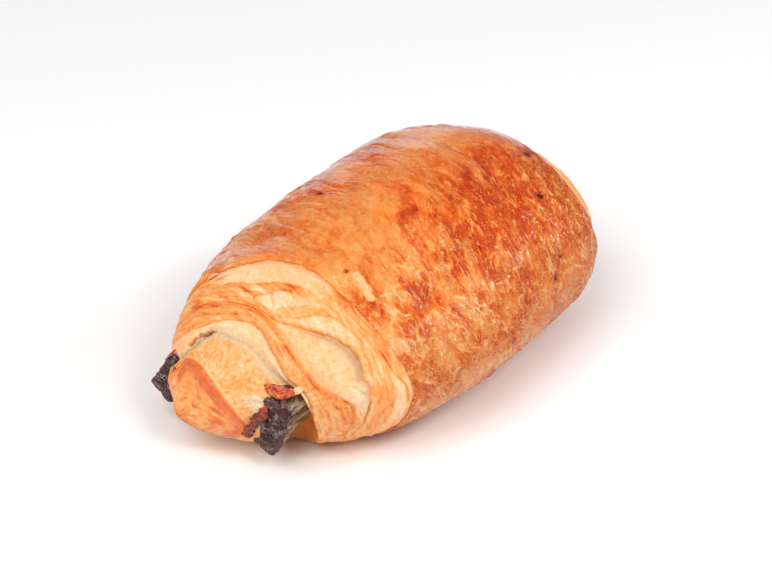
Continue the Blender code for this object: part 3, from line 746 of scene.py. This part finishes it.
# The coil's next turn
# The sheet's second turn: a smooth band that sweeps over the middle in an S, a big soft swelling
# beside it, a folded ridge over that, and the stacked edges of the layers out to the crust.
BAND_LINE = ((20, .60), (55, .662), (80, .670), (92, .660), (98, .652), (109, .632), (132, .592),
             (150, .590), (158, .598), (168, .63), (179, .670), (190, .685), (206, .70), (270, .69),
             (330, .60))
FOLD_LINE = ((20, .63), (60, .682), (80, .684), (92, .672), (98, .664), (105, .668), (111, .684),
             (117, .700), (124, .732), (130, .758), (136, .770), (143, .776), (151, .763), (158, .748),
             (166, .752), (176, .747), (186, .741), (198, .735), (210, .735), (270, .73), (330, .65))
CREST_LINE = ((20, .66), (60, .705), (80, .698), (92, .684), (98, .678), (105, .698), (111, .740),
              (115, .790), (120, .826), (127, .841), (136, .839), (143, .815), (152, .790), (162, .788),
              (176, .780), (190, .772), (205, .765), (270, .77), (330, .70))
STREAK_LINE = ((20, .70), (45, .745), (62, .785), (72, .797), (84, .850), (92, .877), (101, .886),
               (110, .886), (124, .903), (140, .889), (153, .881), (167, .860), (186, .862), (202, .869),
               (270, .85), (330, .76))
OUTER_LINE = ((140, .905), (152, .897), (164, .905), (173, .950), (185, .985), (196, 1.0), (206, .965),
              (220, .94))
BAND_HEIGHT = ((20, .0), (60, .25), (90, .4), (130, .9), (170, .5), (215, -.1), (300, .1))
PILLOW_HEIGHT = ((30, .1), (95, .1), (140, 1.4), (170, 1.1), (200, .1), (300, .1))
FOLD_HEIGHT = ((30, -.1), (95, -.3), (125, -.65), (150, -.75), (185, -.7), (230, -.5), (300, -.3))
CREST_HEIGHT = ((30, .1), (80, .2), (98, .1), (115, .6), (130, .8), (170, .4), (225, -.2), (300, .1))
STREAK_HEIGHT = ((30, -.1), (70, -.4), (95, -.5), (150, -.3), (225, -.5), (300, -.3))
TORN_LINE = ((159, .690), (163, .706), (168, .724), (173, .742))
LOZENGE_LOW = ((80, .712), (84, .702), (88, .693), (96, .697), (100, .732), (105, .771), (108, .812))
LOZENGE_HIGH = ((80, .714), (85, .757), (89, .802), (94, .822), (99, .834), (104, .832), (108, .816))
LOZENGE_CRACK = ((86, .775), (88, .757), (91, .738), (95, .712))
FLANK_SLIT = ((34, .79), (41, .815), (51, .85))
BROWN_SPOTS = ((.641, 57.5, .014, 5, .11), (.621, 79, .013, 5, .10), (.60, 40, .013, 5, .08),
               (.592, 155, .012, 2.5, .14))
WRAP_ROWS, WRAP_COLUMNS, WRAP_CROWDING = 200, 440, 0.35

# How many layers show and how high each steps, in millimetres: in the stack, on the band, on the left.
STACK_LAYERS, BAND_LAYERS, LEFT_LAYERS = 5.0, 2.6, 4.0
STACK_STEP, BAND_STEP, LEFT_STEP = 0.30, 0.14, 0.25
LOZENGE_RISE, SLIT_DEPTH = 0.45, 1.0


def terraces(phase, sharpness):
    """Stacked edges: with each whole number of the phase a layer rises slowly and drops at its edge."""
    part = phase - np.floor(phase)
    edge = hump(part - 1, sharpness) + hump(part, sharpness)
    return part - ease(part, 1 - 2 * sharpness, 1.0) * part, edge


v, lengths, degrees = lines_along(WRAP_COLUMNS, WRAP_CROWDING)
coil_lip, band, crest, streak = line(COIL_LIP), line(BAND_LINE), line(CREST_LINE), line(STREAK_LINE)
fold, outer_line, crust_lip = line(FOLD_LINE), line(OUTER_LINE), line(CRUST_LIP)
fold = fold + 0.35 * rough(wrapped(fold, 3, 1.6), 59, 3) * ease(degrees, 110, 122)
band_height, pillow_height, lip = around(BAND_HEIGHT), around(PILLOW_HEIGHT), around(LIP_HEIGHT)
fold_height, crest_height = around(FOLD_HEIGHT), around(CREST_HEIGHT)
run, height = spread_rows((
    (coil_lip + 5.0, -2.6), (coil_lip + 2.0, 0.5 * band_height - 1.3),
    (coil_lip + 0.5, 0.8 * band_height - 0.85), (coil_lip - 0.1, 0.9 * band_height - 0.5),
    (coil_lip + 0.15, band_height - 0.1),
    (coil_lip + 0.8, band_height + 0.1), (0.5 * coil_lip + 0.5 * band, band_height + 0.1),
    (band - 0.8, band_height - 0.1), (band, band_height - 0.8),
    (0.75 * band + 0.25 * fold, 0.75 * pillow_height - 0.1), (0.45 * band + 0.55 * fold, pillow_height),
    (0.15 * band + 0.85 * fold, 0.5 * pillow_height + 0.2 * fold_height), (fold, fold_height),
    (0.85 * fold + 0.15 * crest, 0.3 * fold_height + 0.3 * crest_height),
    (0.5 * fold + 0.5 * crest, 0.7 * crest_height), (crest, crest_height),
    (0.5 * crest + 0.5 * streak, 0.5 * crest_height), (streak, around(STREAK_HEIGHT)),
    (0.45 * streak + 0.55 * crust_lip, 0.2 * lip - 0.1), (crust_lip - 1.2, 0.55 * lip - 0.2),
    (crust_lip + 0.3, 0.8 * lip - 0.5), (crust_lip + 5.0, -2.6)), WRAP_ROWS)
share = u_at(run) / NEAR_SHARE
base = lifted(run, height)
lumps, fuzz, blotch = rough(base / 2.4, 57, 3), rough(base / 0.8, 53, 3), rough(base / 5, 54, 3)

# Where things lie: the band, the swelling beside it, the pale lozenge of bare dough at the top with
# its crack, the strips right of it, and the crescent under the crust's lip on the left.
on_band = between(coil_lip, band - 0.2, 0.3)
swelling = between(band + 0.3, fold, 0.4) * ease(degrees, 100, 112) * ease(degrees, 205, 165)
beyond = ease(run, fold, fold + 0.8)
right = within(112, 250, 12)
soft = 0.006 + 0.004 * fuzz
low, high = straight(LOZENGE_LOW), straight(LOZENGE_HIGH)
lozenge = ease(share, low - soft, low + 2 * soft) * ease(share, high + soft, high - 2.5 * soft)
lozenge *= within(80, 108, 1)
crack = hump(share - straight(LOZENGE_CRACK), .0055) * within(86, 95, 0.8)
on_left = area(band, streak, 0.5, 25, 100, 8) * (1 - lozenge)
crescent = area(streak + 0.4, crust_lip - 0.2, 0.5, 50, 107, 7)
in_stack = beyond * np.maximum(right, 0.3) * (1 - lozenge) * (1 - 0.8 * crescent)
strip = area(fold + 0.2, crest - 0.2, 0.3, 108, 200, 6)
outer_strip = area(streak, outer_line, 0.4, 160, 204, 5)
outer_slit = hump(run - outer_line, 0.3) * within(146, 206, 6)
low_band = ease(degrees, 148, 162) * between(coil_lip, fold, 0.5) * (1 - swelling)
in_fold = area(fold - 0.9, fold + 0.15, 0.3, 114, 166, 6)
torn_at = hump(share - straight(TORN_LINE) - .003 * fuzz, .006) * within(160, 173, 1.2)
fold_share = u_at(fold[None, :])[0] / NEAR_SHARE
# A dip under the torn flap, painted grey further down as the flap's shadow.
shaded_dip = spot(share, .716, 179, .017, 7) * ease(share, fold_share + .004, fold_share - .006)
slit = hump(share - straight(FLANK_SLIT), .011) * within(36, 43, 2)

# Relief in millimetres: the layers' edges as low steps, streaks along them, and the torn places.
step_noise = woven(51, 4, 15)
in_band, out_of_fold = (run - coil_lip) / (band - coil_lip), (run - fold) / (crust_lip - fold)
out_of_band = (run - band) / (streak - band)
stacked, stack_edge = terraces(STACK_LAYERS * out_of_fold + 0.9 * step_noise, 0.09)
banded, band_edge = terraces(BAND_LAYERS * in_band + 0.5 * woven(52, 5, 14), 0.12)
mounded, mound_edges = terraces(LEFT_LAYERS * out_of_band + 0.7 * woven(56, 4, 10), 0.12)
streaks = woven(55, 1.0, 8, 2, moved=0.5 * step_noise)
dashes = ease(woven(60, 0.55, 2.0, 2, moved=0.3 * fuzz), 0.2, 0.45)
curls = ease(np.abs(noise(base / 1.3, 62)), 0.16, 0.03) * swelling
creases = ease(np.abs(noise(base / (3.0, 0.9, 3.0), 58)), 0.2, 0.0)
height += STACK_STEP * stacked * in_stack + BAND_STEP * banded * on_band + LEFT_STEP * mounded * on_left
height += 0.12 * lumps + 0.11 * fuzz + 0.14 * streaks * (1 - 0.8 * swelling) + 0.06 * curls
height += LOZENGE_RISE * lozenge * (1 - crack) - SLIT_DEPTH * slit - 0.22 * creases * in_fold
height -= 0.35 * outer_slit * (streaks > -0.2) + 0.25 * dashes * low_band
height -= 0.45 * torn_at + 0.25 * shaded_dip * (0.6 + fuzz)
wrap_points, pushed = pushed_in(lifted(run, height))

# How far each place is baked: first the areas, then the brown lines along the edges and folds; the
# browning in the slits and dashes is painted shade.
bake = 0.42 + 0.05 * blotch + 0.06 * fuzz + 0.10 * curls + spots(BROWN_SPOTS)
bake += 0.17 * streaks * (1 - 0.8 * swelling) * (1 - 0.6 * crescent) * (1 - 0.3 * beyond * right)
bake += 0.06 * on_band + on_left * (0.05 + 0.08 * streaks + 0.10 * mound_edges) - 0.04 * low_band
bake += -0.16 * swelling - 0.19 * lozenge - 0.18 * crescent - 0.10 * strip - 0.15 * outer_strip
low_stack = between(fold + 0.6, streak - 0.4, 0.5) * ease(degrees, 158, 172)
bake += right * (0.13 * low_stack - 0.08 * in_stack)
bake += 0.05 * area(crest, crust_lip - 0.5, 0.6, 112, 160, 8)
bake += 0.06 * area(streak - 1.2, streak + 0.3, 0.4, 45, 116, 8)
bake += -0.14 * ease(degrees, 158, 168) * area(band + 0.5, fold, 0.4, 150, 190, 8)
bake += 0.09 * ease(run, streak, streak + 1.5) * within(108, 158, 8)
bake += 0.12 * ease(run, crust_lip - 3.5, crust_lip) * within(108, 160, 8)
# Browner along the crack and the layers' edges; browner in the slits and dashes as painted shade in them.
bake += 0.22 * crack + 0.12 * band_edge * on_band + 0.12 * stack_edge * in_stack + 0.26 * outer_slit
bake += 0.09 * dashes * low_band + 0.3 * slit
for at, width, start, end, soft, strength in (
        (band - 0.5, 0.7, 60, 178, 10, 0.14), (fold + 0.5, 0.6, 110, 172, 6, 0.14),
        (crest, 0.6, 84, 160, 6, 0.13), (streak, 0.5, 132, 205, 6, 0.14)):
    bake += strength * hump(run - at, width) * within(start, end, soft)
bake += (POCKET_BAKE + 0.10 * blotch - bake) * pushed
# Painted shade: grey in the fold, along the swelling's edge under the fold, in the dip under the flap, in
# the tear and in the crescent under the crust's lip.
fold_shade_edge = swelling * ease(run + 0.8 * lumps, 0.45 * band + 0.55 * fold, fold - 0.4)
shade = 0.18 * in_fold + 0.55 * fold_shade_edge * within(120, 158, 7) + 0.32 * shaded_dip + 0.35 * torn_at
shade += 0.45 * crescent * ease(run + 0.3 * fuzz, crust_lip - 1.5, crust_lip - 0.3)

wrap = grid_piece("coil_turn", wrap_points, rolled_out(run, v), {
    "bake": bake, "shade": shade * (1 - pushed), "mottle": 0.24 - 0.04 * swelling,
    "streaks": 0.08 + 0.19 * (1 - swelling) * (1 - 0.6 * crescent),
    "glaze": 0.4 * on_band + 0.2 * beyond + 0.05 + 0.5 * hump(run - crest, 0.8) * within(84, 132, 6)})
dress(wrap, coil_finish, "pastry")


# The far end
# The other end of the same coil, closed in the oven: two tight turns, each tucked under the one
# outside it, browned along their edges. Each stop of the coil is (share of the end, height).
FAR_COIL = ((.80, -.4), (.72, .5), (.55, .7), (.40, -1.1), (.22, .6))
FAR_MIDDLE = 0.012
FAR_LAYERS = 11.0
FAR_ROWS, FAR_COLUMNS, FAR_CROWDING = 150, 400, 0.2

v, lengths, degrees = lines_along(FAR_COLUMNS, FAR_CROWDING)
far_lip = around(FAR_CRUST_LIP)
lip_run = far_line(far_lip)
wave = 1 + 0.12 * np.sin(2 * v + 0.7)
run, height = spread_rows((
    (lip_run - 5.0, -2.6), (lip_run - 1.0, -0.7), (lip_run + 0.8, -0.15), (lip_run + 2.0, -0.2),
    *((far_line(far_lip * at * wave ** 0.5), rise * wave) for at, rise in FAR_COIL),
    (far_line(FAR_MIDDLE), 0.0)), FAR_ROWS)
base = lifted(run, height)
turns = np.clip(height, -1, 1)
far_share = (1 - u_at(run)) / FAR_SHARE / far_lip
layered, layer_edge = terraces(FAR_LAYERS * far_share + 0.16 * np.cos(v) + 0.9 * woven(66, 5, 16), 0.10)
flat_part = ease(far_share, 0.30, 0.42)
height += 0.14 * rough(base / 2.4, 61, 3) + 0.34 * layered * flat_part
bake = 0.33 + 0.10 * turns + 0.08 * rough(base / 5, 63, 3) + 0.10 * woven(65, 1.0, 8, 2)
bake += 0.20 * layer_edge * flat_part + 0.12 * ease(far_share, 0.30, 0.12)
# Painted shade: grey where a turn is tucked under the one outside it.
far_coil = grid_piece("far_coil", lifted(run, height), rolled_out(run, v), {
    "bake": bake, "shade": 0.35 * ease(-turns, 0.2, 1.0), "mottle": 0.12, "streaks": 0.16, "glaze": 0.15},
    poles=("end",))
dress(far_coil, coil_finish, "pastry")


# The chocolate
# Two bars of dark baking chocolate, rolled up in the sheet: the ends that stand out have softened,
# pitted and dried in the oven, and the sides keep the long grain of the pressed bar.
BAR_WIDTH = 7.2
BAR_HEIGHT = 9.0
BAR_CORNER = 1.3
BAR_YAW = -3.0

# Each bar: where its near end is, how long it is, how far it rises and leans in degrees, how far its
# end droops, and how far the softened end hangs, over what length.
LEFT_BAR = {"end": (-49.5, 19.5, 11.8), "length": 104.1, "rise": 2.6, "lean": 33.0,
            "droop": -2.6, "hang": 4.0, "hang_length": 8.0}
RIGHT_BAR = {"end": (-48.7, -8.3, 15.6), "length": 103.0, "rise": 1.4, "lean": 17.0,
             "droop": 0.8, "hang": 5.9, "hang_length": 6.0}
DROOP_LENGTH = 22.0
FAR_HANG = 2.4
BAR_COLUMNS = 168
OUTLINE_STEPS = 1440
FACE_ROWS, NEAR_ROWS, MIDDLE_ROWS, FAR_BAR_ROWS = 34, 84, 14, 24
SMALLEST_RING = 0.02
NEAR_STRETCH, FAR_STRETCH = 17.0, 6.0
LUMP_SIZE, PIT_SIZE, RIB_SIZES = 2.6, 0.75, (7.0, 0.9, 0.9)
LUMP_RISE, PIT_DEPTH, RIB_DEPTH = 0.45, 0.42, 0.16
BLOOM = (1.00, 255, 255, 255)
FACE_COLOURS = ((0.40, 28, 13, 10), (0.58, 84, 40, 31), BLOOM)
SIDE_COLOURS = ((0.38, 66, 48, 36), (0.54, 140, 106, 68), BLOOM)
# Painted shade in the pits of the chocolate.
PIT_SHADE_COLOUR = srgb(24, 14, 14)


def bar_section(columns):
    """Evenly spaced points round the bar's section: a rectangle with its corners rounded."""
    turn = np.linspace(0, 2 * math.pi, OUTLINE_STEPS, endpoint=False)
    half = np.array([BAR_WIDTH, BAR_HEIGHT]) / 2 - BAR_CORNER
    round_it = np.stack([np.cos(turn), np.sin(turn)], axis=-1)
    outline = np.sign(round_it) * half + BAR_CORNER * round_it
    outline = np.concatenate([outline, outline[:1]])
    far = np.concatenate([[0], np.cumsum(np.linalg.norm(np.diff(outline, axis=0), axis=1))])
    at = np.arange(columns) / columns * far[-1]
    return np.interp(at, far, outline[:, 0]), np.interp(at, far, outline[:, 1])


def bar_axes(bar):
    """Unit vectors along the bar, across it and up its height."""
    yaw, rise, lean = (math.radians(a) for a in (BAR_YAW, bar["rise"], bar["lean"]))
    axis = np.array([math.cos(rise) * math.cos(yaw), math.cos(rise) * math.sin(yaw), math.sin(rise)])
    side = np.array([-math.sin(yaw), math.cos(yaw), 0.0])
    across = side * math.cos(lean) + np.cross(axis, side) * math.sin(lean)
    return axis, across, np.cross(axis, across)


def make_bar(name, bar, seed, finish):
    """A bar as rings from the middle of its near face, over the sides, to the middle of its far face.

    Ring by ring the section moves along the axis, its lower half drawn down by the softened end's
    hang. Noise then moves each point outwards: lumps and pits near the ends, long grain on the sides.
    """
    axis, across, tall = bar_axes(bar)
    length = bar["length"]
    along = np.concatenate([
        np.zeros(FACE_ROWS), np.linspace(0, NEAR_STRETCH, NEAR_ROWS),
        np.linspace(NEAR_STRETCH, length - FAR_STRETCH, MIDDLE_ROWS + 2)[1:-1],
        np.linspace(length - FAR_STRETCH, length, FAR_BAR_ROWS), np.full(FACE_ROWS, length)])
    size = np.ones(len(along))
    size[:FACE_ROWS] = np.linspace(SMALLEST_RING, 1, FACE_ROWS, endpoint=False)
    size[-FACE_ROWS:] = np.linspace(1, SMALLEST_RING, FACE_ROWS + 1)[1:]
    along, size = along[:, None], size[:, None]
    to_end = length - along
    from_end = np.minimum(along, to_end)
    sag = bar["droop"] * np.clip(1 - along / DROOP_LENGTH, 0, None) ** 2
    hang = bar["hang"] * ease(1 - along / bar["hang_length"])
    hang = hang + FAR_HANG * ease(1 - to_end / bar["hang_length"])
    wide, high = bar_section(BAR_COLUMNS)
    tuck = size * (1 - 0.10 * hump(from_end, 0.9))
    wide = tuck * wide
    high = tuck * (high - hang * ease(0.5 - high / (BAR_HEIGHT / 2)) + hang / 2)
    centre = np.array(bar["end"]) + along * axis - sag * np.array([0, 0, 1.0])
    points = centre[:, None] + wide[..., None] * across + (high - hang / 2)[..., None] * tall
    out = unit(np.stack([wide, high], axis=-1))
    face = ((1 - size ** 4) * np.where(along > length / 2, 1, -1))[..., None]
    normal = (size ** 6)[..., None] * (out[..., :1] * across + out[..., 1:] * tall) + face * axis
    softened = ease(from_end, 9, 0.5)
    pits = softened * ease(rough(points / PIT_SIZE, seed + 5, 3), 0.05, 0.55)
    own_axes = np.stack([axis, across, tall], axis=-1)
    ribs = np.abs(noise(points @ own_axes / RIB_SIZES, seed + 9))
    lumps = rough(points / LUMP_SIZE, seed, 3) * (0.3 + 0.7 * softened)
    rise = LUMP_RISE * lumps - PIT_DEPTH * pits - RIB_DEPTH * ease(ribs, 0.3, 0.0)
    points = points + normal * rise[..., None]
    marks = {"softened": ease(from_end, 3.6, 1.0), "pits": pits}
    piece = grid_piece(name, points, points @ own_axes, marks, poles=("start", "end"))
    piece.data.flip_normals()
    dress(piece, finish, name.replace("bar_", "chocolate_stick_"))


def chocolate_material():
    """Dark chocolate baked dry: near black where it softened, brown with a tan bloom along the sides."""
    made, tree, shader = new_finish("baked_chocolate")
    place = add(tree, "TexCoord").outputs["Object"]
    softened, pits = mark_of(tree, "softened"), mark_of(tree, "pits")
    fine = speckle(place, 1500.0, 4.0, 0.7)
    middle = speckle(place, 420.0, 3.0)
    long = speckle(mark_of(tree, "grain", "Vector"), (150.0, 1500.0, 1500.0), 3.0, distortion=0.4)
    face = ramp(times_plus(fine, 0.6, times(middle, 0.5)), FACE_COLOURS)
    side = ramp(times_plus(long, 0.8, times(middle, 0.3)), SIDE_COLOURS)
    end_mask = mask(times_plus(middle, 0.5, softened), 0.45, 0.85)
    mixed = add(tree, "Mix", {"Factor": end_mask, "A": side, "B": face}, data_type="RGBA")
    # Painted shade: the pits are darkened towards near black.
    dark = add(tree, "Mix", {"Factor": times(pits, 0.75), "A": mixed.outputs["Result"],
                             "B": PIT_SHADE_COLOUR}, data_type="RGBA")
    rise = times_plus(long, 0.7, times(fine, 0.4))
    bump = add(tree, "Bump", {"Height": rise, "Strength": 0.8, "Distance": 0.30 * MM})
    feed(tree, shader, {"Base Color": dark.outputs["Result"], "Normal": bump.outputs[0], "Roughness": 0.24,
                        "Specular IOR Level": 0.32})
    return made


chocolate = chocolate_material()
make_bar("bar_left", LEFT_BAR, 71, chocolate)
make_bar("bar_right", RIGHT_BAR, 91, chocolate)


# Scraps of dough
# Small separate-looking bits of the same sheet round the bars and on the crust: a glazed tongue over
# the right bar, a singed rim beside it, a film over the left bar, and thin loose flakes.
SCRAP_ROWS, SCRAP_COLUMNS = 48, 30
SCRAP_BUMP_SIZE, SCRAP_MOTTLE = 1.1, 0.12
PLAIN_SCRAP = {"bake": 0.3, "shade": 0.0, "mottle": 0.12, "streaks": 0.08, "glaze": 0.2}

# Each scrap is its name, its noise's seed, how rough it is, the marks of its own and its stops.
SCRAPS = (
    ("glazed_tongue", 101, 0.30, {"bake": 0.82, "mottle": 0.8, "streaks": 0.4, "glaze": 0.7},
     ((.445, 137, .5, .3, .25), (.455, 143, 1.0, 1.3, .5), (.475, 149, 1.2, 1.5, .55),
      (.505, 151, 0.9, 1.0, .45), (.53, 150, .5, .3, .25))),
    ("tongue_edge", 103, 0.15, {},
     ((.485, 153, .6, .3, .2), (.51, 152.5, .8, .7, .3), (.535, 151, .5, .8, .3), (.55, 149, .2, .3, .2))),
    ("singed_rim", 105, 0.8, {"bake": 0.98, "mottle": 0.6, "glaze": 0.8},
     ((.44, 152, .3, .4, .3), (.41, 160, .6, .9, .5), (.385, 172, .8, 1.3, .8), (.355, 190, .6, 1.2, .7),
      (.35, 208, .5, 1.1, .7), (.385, 226, .3, .5, .4))),
    ("bar_film", 107, 0.2, {"bake": 0.82, "mottle": 0.2, "glaze": 0.5},
     ((.44, 30, .3, .2, .2), (.425, 22, .7, .5, .25), (.42, 14, 1.0, .5, .25), (.43, 5, .8, .2, .2))),
    ("loose_flake_1", 111, 0.12, {"bake": 0.26},
     ((.812, 39, .5, .2, .08), (.825, 43, .8, .7, .10), (.84, 47, .6, .2, .08))),
    ("loose_flake_2", 112, 0.12, {"bake": 0.26},
     ((.80, 45, .2, .2, .08), (.815, 49, .5, .7, .10), (.84, 53, .3, .2, .08))),
    ("loose_flake_3", 113, 0.12, {"bake": 0.26},
     ((.86, 47, .9, .2, .08), (.88, 51, 1.1, .6, .10), (.905, 54, .9, .2, .08))),
    ("loose_flake_4", 114, 0.12, {"bake": 0.26},
     ((2.62, 203, .3, .2, .08), (2.66, 204, .7, .8, .10), (2.70, 206, .5, .2, .08))))


def scrap(name, seed, roughness, marks, stops):
    """A flattened lump along a line on the roll.

    Each stop is (share of the near end, degrees, lift, half width, half thickness).
    A smooth curve through the stops carries an ellipse whose width lies along the surface; both its
    sizes close to nothing at the two ends, and noise roughens it.
    """
    stops = np.array(stops, float)
    last = len(stops) - 1
    x = (0.5 - 0.5 * np.cos(np.linspace(0, math.pi, SCRAP_ROWS))) * last
    i = np.minimum(x.astype(int), last - 1)
    rows = cubic(i, (x - i)[:, None], stops, np.gradient(stops, axis=0))
    u, angle = rows[:, 0] * NEAR_SHARE, np.radians(rows[:, 1])
    normal = skin_normal(u, angle)
    path = skin(u, angle) + normal * rows[:, 2:3]
    across = unit(np.cross(normal, np.gradient(path, axis=0)))
    closing = np.sqrt(np.clip(1 - (2 * x / last - 1) ** 4, 0, 1))[:, None, None]
    turn = np.arange(SCRAP_COLUMNS) * 2 * math.pi / SCRAP_COLUMNS
    out = closing * rows[:, None, 3:4] * np.cos(turn)[:, None] * across[:, None]
    out = out + closing * rows[:, None, 4:5] * np.sin(turn)[:, None] * normal[:, None]
    points = path[:, None] + out
    bumps = rough(points / SCRAP_BUMP_SIZE, seed, 3)
    points = points + unit(out) * bumps[..., None] * roughness * closing
    points[..., 2] = np.maximum(points[..., 2], 0.0)
    length = np.cumsum(np.linalg.norm(np.diff(path, axis=0, prepend=path[:1]), axis=1))[:, None]
    marks = {**PLAIN_SCRAP, **marks}
    marks["bake"] = marks["bake"] + SCRAP_MOTTLE * bumps
    piece = grid_piece(name, points[::-1], rolled_out(length, turn), marks, poles=("start", "end"))
    dress(piece, coil_finish, "pastry")


for row in SCRAPS:
    scrap(*row)


# The stage
# A plain pale floor and soft light from all round, with one large window of light over the front.
PHOTO_SIZE = (772, 579)
ORIGIN_PIXEL = (379.29, 358.16)
VIEW_AZIMUTH, VIEW_ELEVATION, VIEW_DISTANCE = -52.0, 34.0, 0.560
VIEW_LENS, SENSOR = 112.0, 36.0
CLIP_NEAR, CLIP_FAR = 0.01, 20.0
FLOOR_HALF = 3.0
FLOOR_FINISH = {"Base Color": (0.95, 0.95, 0.95, 1.0), "Roughness": 0.9, "Specular IOR Level": 0.0}
AROUND_LIGHT = {"Color": (1.0, 1.0, 1.0, 1.0), "Strength": 0.2}

# Each lamp is its name, its side in metres, watts, azimuth, elevation and distance from the origin.
LAMPS = (("window", 0.6, 4.8, -85, 55, 0.9), ("fill", 0.3, 2.65, -10, 50, 0.9),
         ("ceiling", 0.6, 0.8, 30, 86, 0.9), ("left_side", 0.6, 1.0, -140, 40, 0.9),
         ("backdrop_glow", 0.7, 1.2, 138, 5, 1.6), ("low_fill", 0.5, 0.3, 12, 30, 0.9),
         ("glint", 0.14, 1.8, 52, 30, 0.9))


def towards(azimuth, elevation):
    """Unit vector from the origin to a place at that elevation, 0 degrees round at -Y and 90 at +X."""
    a, e = math.radians(azimuth), math.radians(elevation)
    return Vector((math.sin(a) * math.cos(e), -math.cos(a) * math.cos(e), math.sin(e)))


def place_camera():
    """A camera on the photograph's line of sight, aimed so that the origin falls on its pixel."""
    back = towards(VIEW_AZIMUTH, VIEW_ELEVATION)
    right = Vector((0.0, 0.0, 1.0)).cross(back).normalized()
    up = back.cross(right)
    pixel = VIEW_DISTANCE * SENSOR / (VIEW_LENS * PHOTO_SIZE[0])
    across, down = PHOTO_SIZE[0] / 2 - ORIGIN_PIXEL[0], ORIGIN_PIXEL[1] - PHOTO_SIZE[1] / 2
    target = (right * across + up * down) * pixel
    data = bpy.data.cameras.new("camera")
    data.lens, data.sensor_width = VIEW_LENS, SENSOR
    data.clip_start, data.clip_end = CLIP_NEAR, CLIP_FAR
    made = stand("camera", data)
    turn = Matrix((right, up, back)).transposed().to_4x4()
    made.matrix_world = Matrix.Translation(target + back * VIEW_DISTANCE) @ turn
    bpy.context.scene.camera = made


def soft_light(name, size, power, azimuth, elevation, distance):
    """A square area light that faces the origin from that azimuth and elevation."""
    data = bpy.data.lights.new(name, "AREA")
    data.size, data.energy = size, power
    back = towards(azimuth, elevation)
    turn = back.to_track_quat("Z", "Y").to_matrix().to_4x4()
    stand(name, data).matrix_world = Matrix.Translation(back * distance) @ turn


floor_mesh = bpy.data.meshes.new("floor")
floor_corners = ((-1, -1), (1, -1), (1, 1), (-1, 1))
floor_places = [(x * FLOOR_HALF, y * FLOOR_HALF, 0) for x, y in floor_corners]
floor_mesh.from_pydata(floor_places, [], [(0, 1, 2, 3)])
floor = stand("floor", floor_mesh)
paper, paper_tree, paper_shader = new_finish("pale_floor")
feed(paper_tree, paper_shader, FLOOR_FINISH)
floor_mesh.materials.append(paper)

world = bpy.data.worlds.new("studio")
bpy.context.scene.world = world
world.use_nodes = True
feed(world.node_tree, world.node_tree.nodes["Background"], AROUND_LIGHT)
for lamp in LAMPS:
    soft_light(*lamp)
place_camera()
bpy.context.scene.view_settings.view_transform = "Standard"
